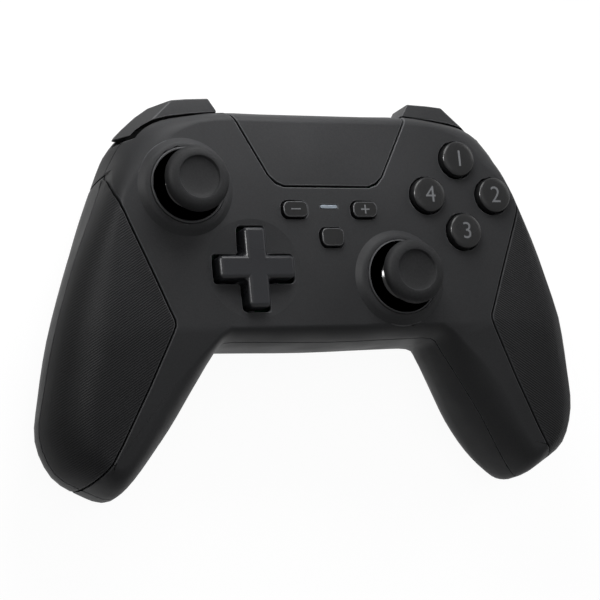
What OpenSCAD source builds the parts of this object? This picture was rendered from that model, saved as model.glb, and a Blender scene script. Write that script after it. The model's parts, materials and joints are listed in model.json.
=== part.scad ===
// Gamepad controller, lying on its back: +X to its right, +Y to its shoulders, +Z out of its face.
// Shapes are drawn from the face plane (z = 0 on the face) and moved onto the resting plane by place().

/* [Housing] */
// Depth from the face plane to the resting back
housing_depth = 36; // [34:0.5:40]
// Wall of the shells
shell_wall = 2.4; // [2:0.1:2.8]
// How far the front of the grips leans back, in degrees
grip_tilt = 12; // [8:1:16]
// Parting gap between front and rear shell
seam_gap = 0.2; // [0.1:0.05:0.4]
// Gap round the grip panels and grip backs
panel_gap = 0.45; // [0.3:0.05:0.5]

/* [Face buttons] */
// Centre of the four face buttons, across
cluster_x = 40.2; // [39:0.2:41]
// Centre of the four face buttons, up
cluster_y = 14; // [13:0.2:15]
// Distance of each face button from the cluster centre
cluster_r = 10.2; // [9.8:0.1:11]
// Diameter of a face button
button_d = 9.9; // [9:0.1:10.4]
// Height of a face button over the face
button_h = 2.2; // [1.6:0.1:3]
// Travel of a face button
button_travel = 1.2; // [0.8:0.1:1.4]

/* [Direction pad] */
// Centre of the direction pad, across
dpad_x = -23.4; // [-25:0.2:-22.6]
// Centre of the direction pad, up
dpad_y = -6.1; // [-7:0.2:-5]
// Span of the direction pad
dpad_span = 21.4; // [19:0.2:22]
// Width of an arm of the direction pad
dpad_arm = 6.2; // [5.4:0.1:6.8]
// Height of the direction pad over the face
dpad_h = 2.9; // [2.2:0.1:3.2]
// Gap round the direction pad
dpad_gap = 0.85; // [0.8:0.05:1.1]
// Radius of the shallow dish round the direction pad
dish_r = 13.4; // [12.4:0.1:13.8]
// Depth of that dish at its centre
dish_depth = 1; // [0.4:0.1:1.2]

/* [Sticks] */
// Left stick centre, across
left_stick_x = -40.6; // [-41.4:0.2:-40]
// Left stick centre, up
left_stick_y = 15.8; // [15:0.2:16.4]
// Right stick centre, across
right_stick_x = 19; // [18.4:0.2:19.6]
// Right stick centre, up
right_stick_y = -9; // [-9.4:0.2:-8]
// Radius of the collar at its foot
collar_r = 13.2; // [12.6:0.1:13.6]
// Height of the collar over the face
collar_h = 2; // [1.6:0.1:2.4]
// Outer radius of the rim ring
ring_r = 10.3; // [10:0.1:10.6]
// Width of the rim ring
ring_w = 0.9; // [0.6:0.1:1.1]
// Radius of the stick cap
cap_r = 8.5; // [7.6:0.1:8.8]
// Thickness of the stick cap
cap_t = 3.9; // [3.2:0.1:4.2]
// Height of the cap's rim over the face
cap_top = 10.9; // [10.4:0.1:12]
// Radius of the hollow in the cap's top
cap_dish_r = 5.7; // [5:0.1:6.2]
// Radius of the glossy dome under the cap
dome_r = 9; // [8.8:0.1:9.1]
// Depth of the tilt centre below the face
tilt_depth = 4; // [3.6:0.1:4.6]
// Radius of the stick shaft
shaft_r = 1.5; // [1.2:0.1:1.7]

/* [Small buttons] */
// Distance of the minus and plus buttons from the middle
mark_x = 10.25; // [9.4:0.1:10.8]
// Height of the minus and plus buttons on the face
mark_y = 9.8; // [9:0.1:10.4]
// Width of the minus and plus buttons
mark_w = 7; // [6:0.1:7.4]
// Length of the minus and plus buttons, up the face
mark_l = 4.3; // [3.8:0.1:4.8]
// Place of the home button, up the face
home_y = 2.2; // [1.4:0.1:2.8]
// Width of the home button
home_w = 6.4; // [5.6:0.1:7]
// Length of the home button, up the face
home_l = 4.9; // [4.2:0.1:5.4]
// Height of the small buttons over the face
small_h = 1.1; // [0.8:0.1:1.4]
// Travel of the small buttons
small_travel = 0.8; // [0.5:0.1:0.9]
// Place of the light bar, up the face
lens_y = 10.7; // [10:0.1:11.4]
// Length of the light bar
lens_w = 4.8; // [4:0.1:5.4]
// Width of the light bar
lens_l = 0.9; // [0.7:0.1:1.2]

/* [Touch plate] */
// Half width of the plate at its lower edge
plate_low = 15.2; // [14.6:0.1:15.8]
// Half width of the plate at its upper corners
plate_high = 26.1; // [25.4:0.1:26.3]
// Lower edge of the plate, up the face
plate_y0 = 16.5; // [15.6:0.1:17]
// Upper corners of the plate, up the face
plate_y1 = 37; // [36:0.1:37.4]
// Thickness of the plate
plate_t = 2; // [1.6:0.1:2.4]
// Gap round the plate
plate_gap = 0.5; // [0.4:0.05:0.6]

/* [Bumpers and triggers] */
// Depth of the bumper's front below the face
bumper_top = 5.6; // [5.4:0.1:6.2]
// Radius of the bumper pins
bumper_pin_r = 1.2; // [0.9:0.1:1.3]
// Radius of the trigger pins
trigger_pin_r = 1.5; // [1.2:0.1:1.6]
// Width of a trigger's finger pad
trigger_w = 17.8; // [16:0.2:18]

/* [Inside] */
// Depth of the board's top below the face
board_depth = 13.5; // [13.2:0.1:14]
// Thickness of the board
board_t = 1.6; // [1:0.1:1.6]
// Thickness of the mid frame
frame_t = 2; // [1.8:0.1:2.2]
// Width of the battery
battery_w = 31; // [26:0.5:32]
// Length of the battery
battery_l = 34; // [28:0.5:36]
// Thickness of the battery
battery_t = 8; // [5:0.5:10]
// Radius of a rumble motor's can
motor_r = 6; // [5:0.1:6.4]
// Length of a rumble motor's can
motor_l = 11; // [9:0.5:13]
// Radius of a rumble weight
weight_r = 6.5; // [5.5:0.1:7]
// Radius of the housing screws
screw_r = 1.4; // [1.1:0.1:1.5]

/* [Fits] */
// Radial clearance of pins and shafts in their bores
pin_fit = 0.05; // [0.02:0.01:0.08]
// Gap between a moving button and its opening
move_gap = 0.4; // [0.35:0.05:0.5]
// Gap between seated pieces
seat_gap = 0.1; // [0.05:0.05:0.2]

/* [Hidden] */
$fn = 64;
// Middle of the whole outline along Y, which the frame's origin stands under
datum_y = 10.4;
// Colours
shell_grey = [0.21, 0.21, 0.22];
panel_grey = [0.13, 0.13, 0.14];
near_black = [0.05, 0.05, 0.06];
pad_grey = [0.2, 0.21, 0.24];
steel = [0.7, 0.71, 0.73];
board_green = [0.07, 0.27, 0.16];
rubber_grey = [0.45, 0.46, 0.48];

// Where the grips' front starts to lean back, and where the chamfer under the face starts
crease_y = -21.2;
// Lower edge of the flat back between the grips
back_crease = -20.2;
// Stations of the housing's right half, from the top middle round the grip to the bottom middle:
// widest outline x, y and depth, face edge x, y, back edge x, y, and the seam's share of the front curve
STATIONS = [
    [0, 38, 10, 0, 33.8, 0, 29.8, 0.67],
    [14, 38.1, 10, 14, 33.9, 13, 29.5, 0.67],
    [27, 38.2, 10, 26.5, 33.9, 25, 29, 0.67],
    [36, 37.2, 10.6, 35, 33, 34, 28.4, 0.67],
    [45.2, 36, 12, 41, 30.6, 40.8, 26.5, 0.67],
    [50.8, 34, 14.2, 45.4, 27.2, 47.5, 24.2, 0.67],
    [54.6, 30.6, 15.6, 48.4, 23, 52.2, 20.9, 0.72],
    [56.4, 26, 15.4, 52.6, 19.6, 55.8, 16.6, 0.86],
    [58.4, 20.9, 14.4, 56, 14.8, 58.6, 11.6, 1],
    [62.2, 12, 14, 58.3, 7.8, 60.8, 5.2, 1],
    [68.2, -1.9, 13.9, 60.2, -4.2, 63.2, -6.6, 1],
    [73.8, -19.1, 15.8, 62.3, crease_y, 67.4, back_crease, 1],
    [76.6, -33.7, 19.6, 64.4, -33.2, 71.2, -34.9, 1],
    [77.9, -45.1, 22.6, 65.5, -42.8, 72.4, -46.2, 1],
    [74, -54.9, 24, 65.9, -50.2, 68.4, -55, 1],
    [65.8, -60.3, 24.6, 64.2, -54.3, 64.3, -58.4, 0.94],
    [60.6, -62.7, 25.5, 61.4, -55.6, 61.8, -57.4, 0.84],
    [56.4, -60.6, 26.8, 58.8, -54, 58, -53.5, 0.72],
    [50.5, -54.3, 26.8, 55.2, -48.6, 52.3, -47.2, 0.62],
    [44, -45.9, 24.2, 51.1, -41.5, 49.3, -38.8, 0.57],
    [37.9, -36.2, 20.4, 45.9, -34.4, 49.2, -28.6, 0.6],
    [33, -27.9, 17.2, 39.4, -28, 48.6, -22.6, 0.64],
    [30.6, -25, 14.8, 31.2, crease_y, 43, back_crease, 0.68],
    [21.4, -24.9, 13.8, 21.6, crease_y, 28, back_crease, 0.69],
    [0, -25.4, 13.8, 0, crease_y, 0, back_crease, 0.69]
];
// Curve steps between stations, rings of the front shell and rings of the rear shell
curve_steps = 3;
front_rings = 5;
rear_rings = 7;
// Station numbers of the outer and inner end of the crease
outer_crease = 11;
inner_crease = 22;

half_rows = len(STATIONS) - 1;
row_count = 2 * half_rows;
ring_count = row_count * curve_steps;
first_in = outer_crease * curve_steps;
last_in = inner_crease * curve_steps;

function mirrored(s) = [-s[0], s[1], s[2], -s[3], s[4], -s[5], s[6], s[7]];
function station(i) =
    let (k = (i + row_count) % row_count)
    k <= half_rows ? STATIONS[k] : mirrored(STATIONS[row_count - k]);
// Smooth curve through four neighbouring stations
function blend(a, b, c, d, t) =
    0.5 * (2 * b + (c - a) * t + (2 * a - 5 * b + 4 * c - d) * t * t + (3 * b - a - 3 * c + d) * t * t * t);
function raw_row(i) =
    let (k = floor(i / curve_steps), t = i / curve_steps - k)
    blend(station(k - 1), station(k), station(k + 1), station(k + 2), t);
// The face and back edges run straight along the crease under the middle
function on_crease(i) = i >= last_in && i <= ring_count - last_in;
ROWS = [
    for (i = [0:ring_count - 1])
        let (r = raw_row(i), y4 = on_crease(i) ? crease_y : r[4], y6 = on_crease(i) ? back_crease : r[6])
        [r[0], r[1], r[2], r[3], y4, r[5], y6, min(1, r[7])]
];
function row(i) = ROWS[(i + ring_count) % ring_count];
function unit(v) = v / norm(v);
// Direction into the housing, square to the widest outline
function inward(i) =
    let (d = unit([row(i + 1)[0] - row(i - 1)[0], row(i + 1)[1] - row(i - 1)[1]]))
    [d[1], -d[0]];
// How far the lining of the face stays inside the lining of the sides
lining_room = 0.4;
function face_z(y) = y < crease_y ? -tan(grip_tilt) * (crease_y - y) : 0;
// A point of row i at curve share w: 0 on the face edge, 1 on the widest outline, 2 on the back edge
function section(i, w, wall) =
    let (
        r = row(i),
        n = inward(i),
        wide = [r[0], r[1]] + n * wall,
        reach = norm([r[3] - r[0], r[4] - r[1]]),
        face = [r[3], r[4]] + n * max(0, wall > 0 ? wall + lining_room - reach : 0),
        back = [r[5], r[6]],
        z_face = face_z(r[4]) - wall,
        z_back = wall - housing_depth,
        turn = 90 * (w > 1 ? w - 1 : w),
        flat = w > 1 ? back + (wide - back) * cos(turn) : face + (wide - face) * sin(turn),
        z = w > 1 ? -r[2] + (z_back + r[2]) * sin(turn) : z_face + (-r[2] - z_face) * (1 - cos(turn))
    )
    [flat[0], flat[1], z];

// Triangles that close a ring of the housing at its face or its back, starting at point number b
function cap_faces(b) = concat(
    [[b, b + 1, b + ring_count - 1]],
    [for (i = [1:first_in - 2]) each [
        [b + i, b + i + 1, b + ring_count - i - 1],
        [b + i, b + ring_count - i - 1, b + ring_count - i]
    ]],
    let (q = first_in - 1, line = concat([first_in], [for (i = [last_in:ring_count - last_in]) i],
        [ring_count - first_in, ring_count - q]))
    [for (k = [0:len(line) - 2]) [b + q, b + line[k], b + line[k + 1]]],
    [for (k = [0:(last_in - first_in - 1) / 2 - 1]) each [
        [b + first_in + k, b + first_in + k + 1, b + last_in - k - 1],
        [b + first_in + k, b + last_in - k - 1, b + last_in - k]
    ]],
    [for (k = [0:(last_in - first_in - 1) / 2 - 1])
        let (u = ring_count - first_in - k, v = ring_count - last_in + k) each [
            [b + u, b + v + 1, b + u - 1],
            [b + u, b + v, b + v + 1]
        ]]
);
function turned(faces) = [for (f = faces) [f[0], f[2], f[1]]];
// Triangles between two rings that start at point numbers a and b
function wall_faces(a, b) = [
    for (i = [0:ring_count - 1]) let (j = (i + 1) % ring_count) each [
        [a + i, b + i, b + j],
        [a + i, b + j, a + j]
    ]
];

// A closed shell with one ring for each list of curve shares; the parting gap may drop its first ring
module shell(shares, rings, drop, facing_front) {
    outer = [for (k = [0:rings], i = [0:ring_count - 1])
        section(i, shares[k][i], 0) - [0, 0, k == 0 ? drop : 0]];
    inner = [for (k = [0:rings], i = [0:ring_count - 1])
        section(i, shares[k][i], shell_wall) - [0, 0, k == 0 ? drop : 0]];
    points = concat(outer, inner);
    first_inner = (rings + 1) * ring_count;
    last = rings * ring_count;
    sides = [for (k = [0:rings - 1]) each wall_faces(k * ring_count, (k + 1) * ring_count)];
    linings = [for (k = [0:rings - 1]) each
        turned(wall_faces(first_inner + k * ring_count, first_inner + (k + 1) * ring_count))];
    rim = facing_front ? wall_faces(last, first_inner + last) : turned(wall_faces(0, first_inner));
    lid = facing_front ? cap_faces(0) : turned(cap_faces(last));
    lid_lining = facing_front ? turned(cap_faces(first_inner)) : cap_faces(first_inner + last);
    polyhedron(points, concat(sides, linings, rim, lid, lid_lining));
}
function seam(i) = row(i)[7];
module front_half() {
    shares = [for (k = [0:front_rings]) [for (i = [0:ring_count - 1]) seam(i) * k / front_rings]];
    shell(shares, front_rings, 0, true);
}
module rear_half() {
    shares = [for (k = [0:rear_rings])
        [for (i = [0:ring_count - 1]) seam(i) + (2 - seam(i)) * k / rear_rings]];
    shell(shares, rear_rings, seam_gap, false);
}

// Upper end of the grip panels and grip backs
apex_y = 21.9;
// Lower end of the areas that are cut out for them
grip_low = -64;
// Stations of the grip panel's inner edge, from its apex down to the grip's tip
PANEL_EDGE = [[58, apex_y], [58.7, 19.6], [59.2, 17], [59.3, 14.2], [58.7, 10.8], [57, 6.2], [55.4, 2.3],
    [52.9, -3.8], [50.5, -9.8], [47.7, -17], [46.7, -19.4], [46.6, -20.8], [47.3, -22.6],
    [53.8, -36], [61, -49.8], [63.8, -54.7], [67.6, -59.2], [72, grip_low]];
// Stations of the grip back's edge on the rear of the housing
BACK_EDGE = [[58, apex_y], [48, apex_y], [45.6, apex_y - 2.4], [44, 0], [46.4, -18], [53.6, -36], [58.4, -47],
    [63.8, -54.7], [67.6, -59.2], [72, grip_low]];
grip_reach = 95;
module grip_area(edge) {
    polygon(concat(edge, [[grip_reach, grip_low], [grip_reach, apex_y]]));
}
module grip_prism(edge, grow) {
    translate([0, 0, -2 * housing_depth])
        linear_extrude(3 * housing_depth)
            offset(delta = grow)
                grip_area(edge);
}

// Places and levels that several pieces share
SIDES = [-1, 1];
board_top = -board_depth;
frame_top = board_top - board_t;
frame_low = frame_top - frame_t;
back_z = -housing_depth;
ring_in = ring_r - ring_w;
BOSSES = [[20, 11], [49.4, -4]];
PANEL_BOSS = [61.2, -42.5];
boss_r = 3;
// How far bosses and posts root into their wall
root = 0.6;
pilot_fit = 0.05;
post_r = 3.2;
head_r = 2.5;
head_t = 1.6;
head_gap = 0.4;
head_seat = 5;
seat_floor = 1.6;
seat_wall = 1.2;
screw_bite = 6;
shank_gap = 0.3;

// How far a cut runs past the solid, how far welded forms run into each other, and the least step
over = 1;
weld = 0.2;
sliver = 0.01;
// Light press fit of a pin in its seat
press_fit = 0.02;

module place() { translate([0, datum_y, housing_depth]) children(); }
module on_side(side) { mirror([side < 0 ? 1 : 0, 0, 0]) children(); }
module at_stick(side) {
    translate(side < 0 ? [left_stick_x, left_stick_y, 0] : [right_stick_x, right_stick_y, 0]) children();
}
module rounded(w, l, r) {
    square([w - 2 * r, l], center = true);
    square([w, l - 2 * r], center = true);
    for (x = SIDES, y = SIDES) translate([x * (w / 2 - r), y * (l / 2 - r)]) circle(r);
}
module slab(z0, z1) { translate([0, 0, z0]) linear_extrude(z1 - z0) children(); }
module tube(z0, z1, r) { translate([0, 0, z0]) cylinder(h = z1 - z0, r = r); }

// Front shell
opening_z = -12;
ledge_z = -1.2;
collar_rim = 0.5;
module stick_collar() {
    tube(ledge_z, 0, collar_r);
    cylinder(h = collar_h, r1 = collar_r, r2 = ring_r + collar_rim);
}
module stick_opening() {
    tube(ledge_z, 2 * collar_h, ring_r + seat_gap);
    tube(opening_z, 0, ring_in);
}
module dpad_cross(grow) {
    square([dpad_span + 2 * grow, dpad_arm + 2 * grow], center = true);
    square([dpad_arm + 2 * grow, dpad_span + 2 * grow], center = true);
}
dish_sphere = (dish_r * dish_r + dish_depth * dish_depth) / (2 * dish_depth);
module dpad_opening() {
    slab(opening_z, over) dpad_cross(dpad_gap);
    intersection() {
        translate([0, 0, dish_sphere - dish_depth]) sphere(dish_sphere);
        tube(-2 * dish_depth, sliver, dish_r + 5 * sliver);
    }
}
plate_slope = (plate_high - plate_low) / (plate_y1 - plate_y0);
plate_end = 46;
plate_corner = 2.7;
// Middle point of the plate's turned lower corners
PLATE_TURN = [0.6, 0.9];
function plate_half(y) = plate_low + plate_slope * (y - plate_y0);
module plate_area(grow) {
    polygon([
        [-plate_half(plate_y0) + plate_corner, plate_y0 - grow],
        [plate_half(plate_y0) - plate_corner, plate_y0 - grow],
        [plate_half(plate_y0) - PLATE_TURN[0] + grow, plate_y0 + PLATE_TURN[1] - grow],
        [plate_half(plate_y0 + plate_corner) + grow, plate_y0 + plate_corner],
        [plate_half(plate_end) + grow, plate_end],
        [-plate_half(plate_end) - grow, plate_end],
        [-plate_half(plate_y0 + plate_corner) - grow, plate_y0 + plate_corner],
        [-plate_half(plate_y0) + PLATE_TURN[0] - grow, plate_y0 + PLATE_TURN[1] - grow]
    ]);
}
// Outline of a bumper seen on the face, from its inner end round its outer edge
BUMPER = [[27.8, 31], [27.8, 38.4], [29.9, 41.7], [36, 41.4], [41.2, 40.9], [45, 40.2], [48.4, 38],
    [52, 34.9], [54.3, 32.7], [55, 31.7], [54.2, 31.5], [50.5, 31.6], [46, 31.2], [40, 31]];
// Room for it in the shells, open towards the outside
BUMPER_POCKET = [[27, 29.4], [40, 29.4], [46, 29.9], [50.5, 30.1], [54.5, 30], [58, 30], [70, 32], [70, 60],
    [27, 60]];
slide_gap = 0.4;
bumper_gap = 0.5;
bumper_low = frame_top + slide_gap;
module bumper_pocket() { slab(frame_top, -bumper_top + bumper_gap) polygon(BUMPER_POCKET); }
TRIGGER_X = 23.8;
trigger_gap = 0.6;
trigger_room = 27;
trigger_floor = 1.8;
module trigger_pocket() {
    translate([TRIGGER_X - trigger_gap, trigger_room, back_z + trigger_floor])
        cube([trigger_w + 2 * trigger_gap, housing_depth, frame_top - back_z - trigger_floor]);
}
CLUSTER = [[0, 1], [1, 0], [0, -1], [-1, 0]];
module at_button(i) {
    translate([cluster_x + CLUSTER[i][0] * cluster_r, cluster_y + CLUSTER[i][1] * cluster_r, 0]) children();
}
small_corner = 1.6;
module small_opening(w, l) {
    slab(opening_z, over) rounded(w + 2 * move_gap, l + 2 * move_gap, small_corner + move_gap);
}
module face_boss(low, top) {
    difference() {
        tube(low, top, boss_r);
        tube(low - over, low + screw_bite + over, screw_r + pilot_fit);
    }
}
module front_shell() {
    color(shell_grey) place() {
        difference() {
            union() {
                front_half();
                for (s = SIDES) at_stick(s) stick_collar();
            }
            for (s = SIDES) on_side(s) grip_prism(PANEL_EDGE, panel_gap);
            for (s = SIDES) at_stick(s) stick_opening();
            for (i = [0:3]) at_button(i) tube(opening_z, over, button_d / 2 + move_gap);
            translate([dpad_x, dpad_y, 0]) dpad_opening();
            for (s = SIDES)
                translate([s * mark_x, mark_y, 0])
                    small_opening(mark_w, mark_l);
            translate([0, home_y, 0])
                small_opening(home_w, home_l);
            translate([0, lens_y, 0])
                slab(opening_z, over) square([lens_w + 2 * seat_gap, lens_l + 2 * seat_gap], center = true);
            slab(opening_z, over) plate_area(plate_gap);
            for (s = SIDES) on_side(s) bumper_pocket();
        }
        for (s = SIDES, b = BOSSES) translate([s * b[0], b[1], 0]) face_boss(frame_top, root - shell_wall);
    }
}

// Rear shell and grip backs
module rear_post() {
    tube(back_z + shell_wall - root, frame_low, post_r);
    tube(back_z + shell_wall - root, back_z + head_seat + seat_floor, head_r + head_gap + seat_wall);
}
module rear_post_bore() {
    tube(back_z - over, back_z + head_seat, head_r + head_gap);
    tube(back_z, frame_low + over, screw_r + shank_gap);
}
port_w = 8.9;
port_h = 3.2;
port_z = board_top + port_h / 2;
module port_area(grow) { rounded(port_w + 2 * grow, port_h + 2 * grow, port_h / 2 + grow - sliver); }
module along_y(y0, y1) {
    translate([0, y1, 0]) rotate([90, 0, 0]) linear_extrude(y1 - y0) children();
}
module rear_shell() {
    color(shell_grey) place() difference() {
        union() {
            difference() {
                rear_half();
                for (s = SIDES) on_side(s) grip_prism(BACK_EDGE, panel_gap);
                for (s = SIDES) on_side(s) bumper_pocket();
                for (s = SIDES) on_side(s) trigger_pocket();
                translate([0, 0, port_z]) along_y(port_end - port_l, port_end + port_l) port_area(move_gap);
            }
            for (s = SIDES) translate([s * BOSSES[0][0], BOSSES[0][1], 0]) rear_post();
        }
        for (s = SIDES) translate([s * BOSSES[0][0], BOSSES[0][1], 0]) rear_post_bore();
    }
}
module grip_back(side) {
    color(shell_grey) place() on_side(side) difference() {
        union() {
            intersection() {
                rear_half();
                grip_prism(BACK_EDGE, 0);
            }
            translate([BOSSES[1][0], BOSSES[1][1], 0]) rear_post();
            translate([PANEL_BOSS[0], PANEL_BOSS[1], 0]) rear_post();
        }
        translate([BOSSES[1][0], BOSSES[1][1], 0]) rear_post_bore();
        translate([PANEL_BOSS[0], PANEL_BOSS[1], 0]) rear_post_bore();
    }
}
module grip_panel(side) {
    color(panel_grey) place() on_side(side) {
        intersection() {
            front_half();
            grip_prism(PANEL_EDGE, 0);
        }
        translate([PANEL_BOSS[0], PANEL_BOSS[1], 0])
            face_boss(frame_top, face_z(PANEL_BOSS[1]) + root - shell_wall);
    }
}

// Touch plate with its hinge lugs and switch stem
hinge_y = 31;
hinge_z = -6.5;
hinge_r = 1.2;
lug_x = 14;
lug_t = 3;
bracket_x = 18;
bracket_t = 2.5;
lip_turn = 57;
lip_steps = 6;
lug_wall = 1;
plate_stem_y = plate_y0 + 3.5;
plate_stem_r = 2;
function top_curve(inset, turn) = [
    STATIONS[0][4] + (STATIONS[0][1] - STATIONS[0][4] - inset) * sin(turn),
    -inset - (STATIONS[0][2] - inset) * (1 - cos(turn))
];
module plate_profile() {
    polygon(concat(
        [[plate_y0 - over, -plate_t], [plate_y0 - over, 0]],
        [for (a = [0:lip_steps]) top_curve(0, lip_turn * a / lip_steps)],
        [for (a = [lip_steps:-1:0]) top_curve(plate_t, lip_turn * a / lip_steps)]
    ));
}
module along_x(x0, x1) {
    translate([x0, 0, 0]) rotate([90, 0, 90]) linear_extrude(x1 - x0) children();
}
tact_h = 2.9;
switch_top = board_top + tact_h;
stem_gap = 0.4;
module touch_plate() {
    color(shell_grey) place() {
        intersection() {
            along_x(-plate_half(plate_end), plate_half(plate_end)) plate_profile();
            slab(-housing_depth, over) plate_area(0);
        }
        for (s = SIDES) on_side(s) {
            along_x(lug_x - lug_t / 2, lug_x + lug_t / 2) {
                translate([hinge_y, hinge_z]) circle(hinge_r + lug_wall);
                translate([hinge_y - hinge_r - lug_wall, hinge_z])
                    square([2 * (hinge_r + lug_wall), -plate_t - hinge_z + weld]);
            }
            translate([lug_x, hinge_y, hinge_z])
                rotate([0, 90, 0]) cylinder(h = bracket_x + bracket_t / 2 - lug_x, r = hinge_r);
        }
        translate([0, plate_stem_y, 0]) tube(switch_top + stem_gap, -plate_t + weld, plate_stem_r);
    }
}

// Sticks: rim ring, cap, dome with its shaft, rocker, yoke and module
ring_bevel = 0.25;
ring_rise = 0.35;
module stick_ring(side) {
    color(shell_grey) place() at_stick(side)
        rotate_extrude() polygon([
            [ring_in, ledge_z], [ring_r, ledge_z], [ring_r, collar_h],
            [ring_r - ring_bevel, collar_h + ring_rise],
            [ring_in + ring_bevel, collar_h + ring_rise], [ring_in, collar_h]
        ]);
}
cap_low = cap_top - cap_t;
stem_r = 3.2;
// Turned edges of the cap: at its underside, at its rim, and down into the hollow of its top
CAP_FOOT = [[-1.1, 0], [-0.3, 0.7], [0, 1.5]];
CAP_RIM = [[-0.1, -1.3], [-0.7, -0.4], [-1.6, 0]];
CAP_DISH = [[0.4, 0], [0, -0.3], [-1, -0.8], [-2.6, -1.2]];
cap_dip = 1.4;
cap_socket = 1.4;
module stick_cap(side) {
    color(near_black) place() at_stick(side) difference() {
        rotate_extrude() polygon(concat(
            [[0, cap_low]],
            [for (p = CAP_FOOT) [cap_r, cap_low] + p],
            [for (p = CAP_RIM) [cap_r, cap_top] + p],
            [for (p = CAP_DISH) [cap_dish_r, cap_top] + p],
            [[0, cap_top - cap_dip]]
        ));
        tube(cap_low - over, cap_low + cap_socket, stem_r + pin_fit);
    }
}
dome_wall = 1;
dome_skirt = 1;
shaft_end = 2.2;
module stick_dome(side) {
    color(near_black) place() at_stick(side) translate([0, 0, -tilt_depth]) {
        difference() {
            sphere(dome_r);
            sphere(dome_r - dome_wall);
            tube(-dome_r - over, dome_skirt, dome_r + over);
        }
        tube(dome_r - dome_wall, tilt_depth + cap_low + cap_socket - seat_gap, stem_r);
        tube(-shaft_end, dome_r - dome_wall / 2, shaft_r);
    }
}
rocker_x = 4.6;
rocker_y = 4.6;
rocker_z = 2.8;
yoke_gap = 0.6;
yoke_wall = 1.4;
trunnion_r = 0.8;
yoke_x = rocker_x + 2 * yoke_gap + 2 * yoke_wall;
yoke_y = rocker_y + 2 * yoke_gap + 2 * yoke_wall;
yoke_z = 2.6;
module_post_x = yoke_x / 2 + yoke_gap + seat_gap;
module_post_t = 1.4;
module_w = 15.4;
module_post_w = 4;
module_post_rise = 1.4;
module_drop = 4.6;
module_top = -tilt_depth - module_drop;
yoke_root = 0.5;
module stick_rocker(side) {
    color(rubber_grey) place() at_stick(side) translate([0, 0, -tilt_depth]) difference() {
        union() {
            cube([rocker_x, rocker_y, rocker_z], center = true);
            rotate([90, 0, 0]) cylinder(h = yoke_y, r = trunnion_r, center = true);
        }
        tube(-rocker_z, rocker_z, shaft_r + pin_fit);
    }
}
module stick_yoke(side) {
    color(near_black) place() at_stick(side) translate([0, 0, -tilt_depth]) difference() {
        union() {
            difference() {
                cube([yoke_x, yoke_y, yoke_z], center = true);
                cube([rocker_x + 2 * yoke_gap, rocker_y + 2 * yoke_gap, 2 * yoke_z], center = true);
            }
            for (s = SIDES) on_side(s)
                translate([yoke_x / 2 - yoke_root, 0, 0])
                    rotate([0, 90, 0]) cylinder(h = yoke_gap + module_post_t + yoke_root, r = trunnion_r);
        }
        rotate([90, 0, 0]) cylinder(h = 2 * yoke_y, r = trunnion_r + pin_fit, center = true);
    }
}
module stick_module(side) {
    color(steel) place() at_stick(side) difference() {
        union() {
            slab(board_top, module_top) square(module_w, center = true);
            for (s = SIDES)
                translate([s * (module_post_x + module_post_t / 2), 0, 0])
                    slab(module_top, -tilt_depth + module_post_rise)
                        square([module_post_t, module_post_w], center = true);
        }
        translate([0, 0, -tilt_depth])
            rotate([0, 90, 0]) cylinder(h = 2 * module_w, r = trunnion_r + pin_fit, center = true);
    }
}

// Direction pad on its ball pivot
pivot_z = -5;
ball_r = 2.2;
hub_r = 3.4;
post_drop = 1;
cup_lip = 0.4;
hub_low = pivot_z + cup_lip;
flange_r = 8.5;
flange_top = -4;
cup_gap = 0.05;
// Hollow in the pad's middle
dip_r = 25;
dip_depth = 0.6;
// Feet that press the rubber domes, and how far they come down when the pad rocks
foot_r = 1.6;
foot_drop = 1;
press_in = 3;
dpad_press = dpad_span / 2 - press_in;
module dpad() {
    color(pad_grey) place() translate([dpad_x, dpad_y, 0]) difference() {
        union() {
            slab(flange_top - sliver, dpad_h) dpad_cross(0);
            tube(hub_low, flange_top, flange_r);
            for (c = CLUSTER)
                translate([c[0] * dpad_press, c[1] * dpad_press, 0])
                    tube(dome_top + foot_drop + stem_gap, flange_top, foot_r);
        }
        translate([0, 0, pivot_z]) sphere(ball_r + cup_gap);
        translate([0, 0, dpad_h + dip_r - dip_depth]) sphere(dip_r);
    }
}
module dpad_pivot() {
    color(steel) place() translate([dpad_x, dpad_y, pivot_z]) sphere(ball_r);
}
module dpad_post() {
    color(rubber_grey) place() translate([dpad_x, dpad_y, 0]) difference() {
        tube(board_top, pivot_z - post_drop, hub_r);
        translate([0, 0, pivot_z]) sphere(ball_r + cup_gap);
    }
}
sheet_t = 0.8;
dome_h = 2.3;
dome_top = board_top + sheet_t + dome_h;
dome_edge = 1;
dome_taper = 2 / 3;
button_dome = 4.2;
// The pad's domes stay clear of its post
dome_clear = 0.6;
dpad_dome = dpad_press - hub_r - dome_clear;
module rubber_dome(foot) {
    tube(board_top, board_top + sheet_t, foot + dome_edge);
    translate([0, 0, board_top + sheet_t - sliver])
        cylinder(h = dome_h + sliver, r1 = foot, r2 = dome_taper * foot);
}
module dpad_membrane() {
    color(rubber_grey) place() translate([dpad_x, dpad_y, 0]) difference() {
        union() {
            for (c = CLUSTER) translate([c[0] * dpad_press, c[1] * dpad_press, 0]) rubber_dome(dpad_dome);
            tube(board_top, board_top + sheet_t, dpad_press);
        }
        tube(board_top - over, 0, hub_r + seat_gap);
    }
}

// Face buttons
flange_w = 0.65;
// Bevel that keeps the flange clear of the shell's rounded lining
flange_bevel = 0.3;
flange_t = 1.2;
flange_gap = 0.3;
flange_z = -shell_wall - flange_gap;
button_stem_r = 3.2;
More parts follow.
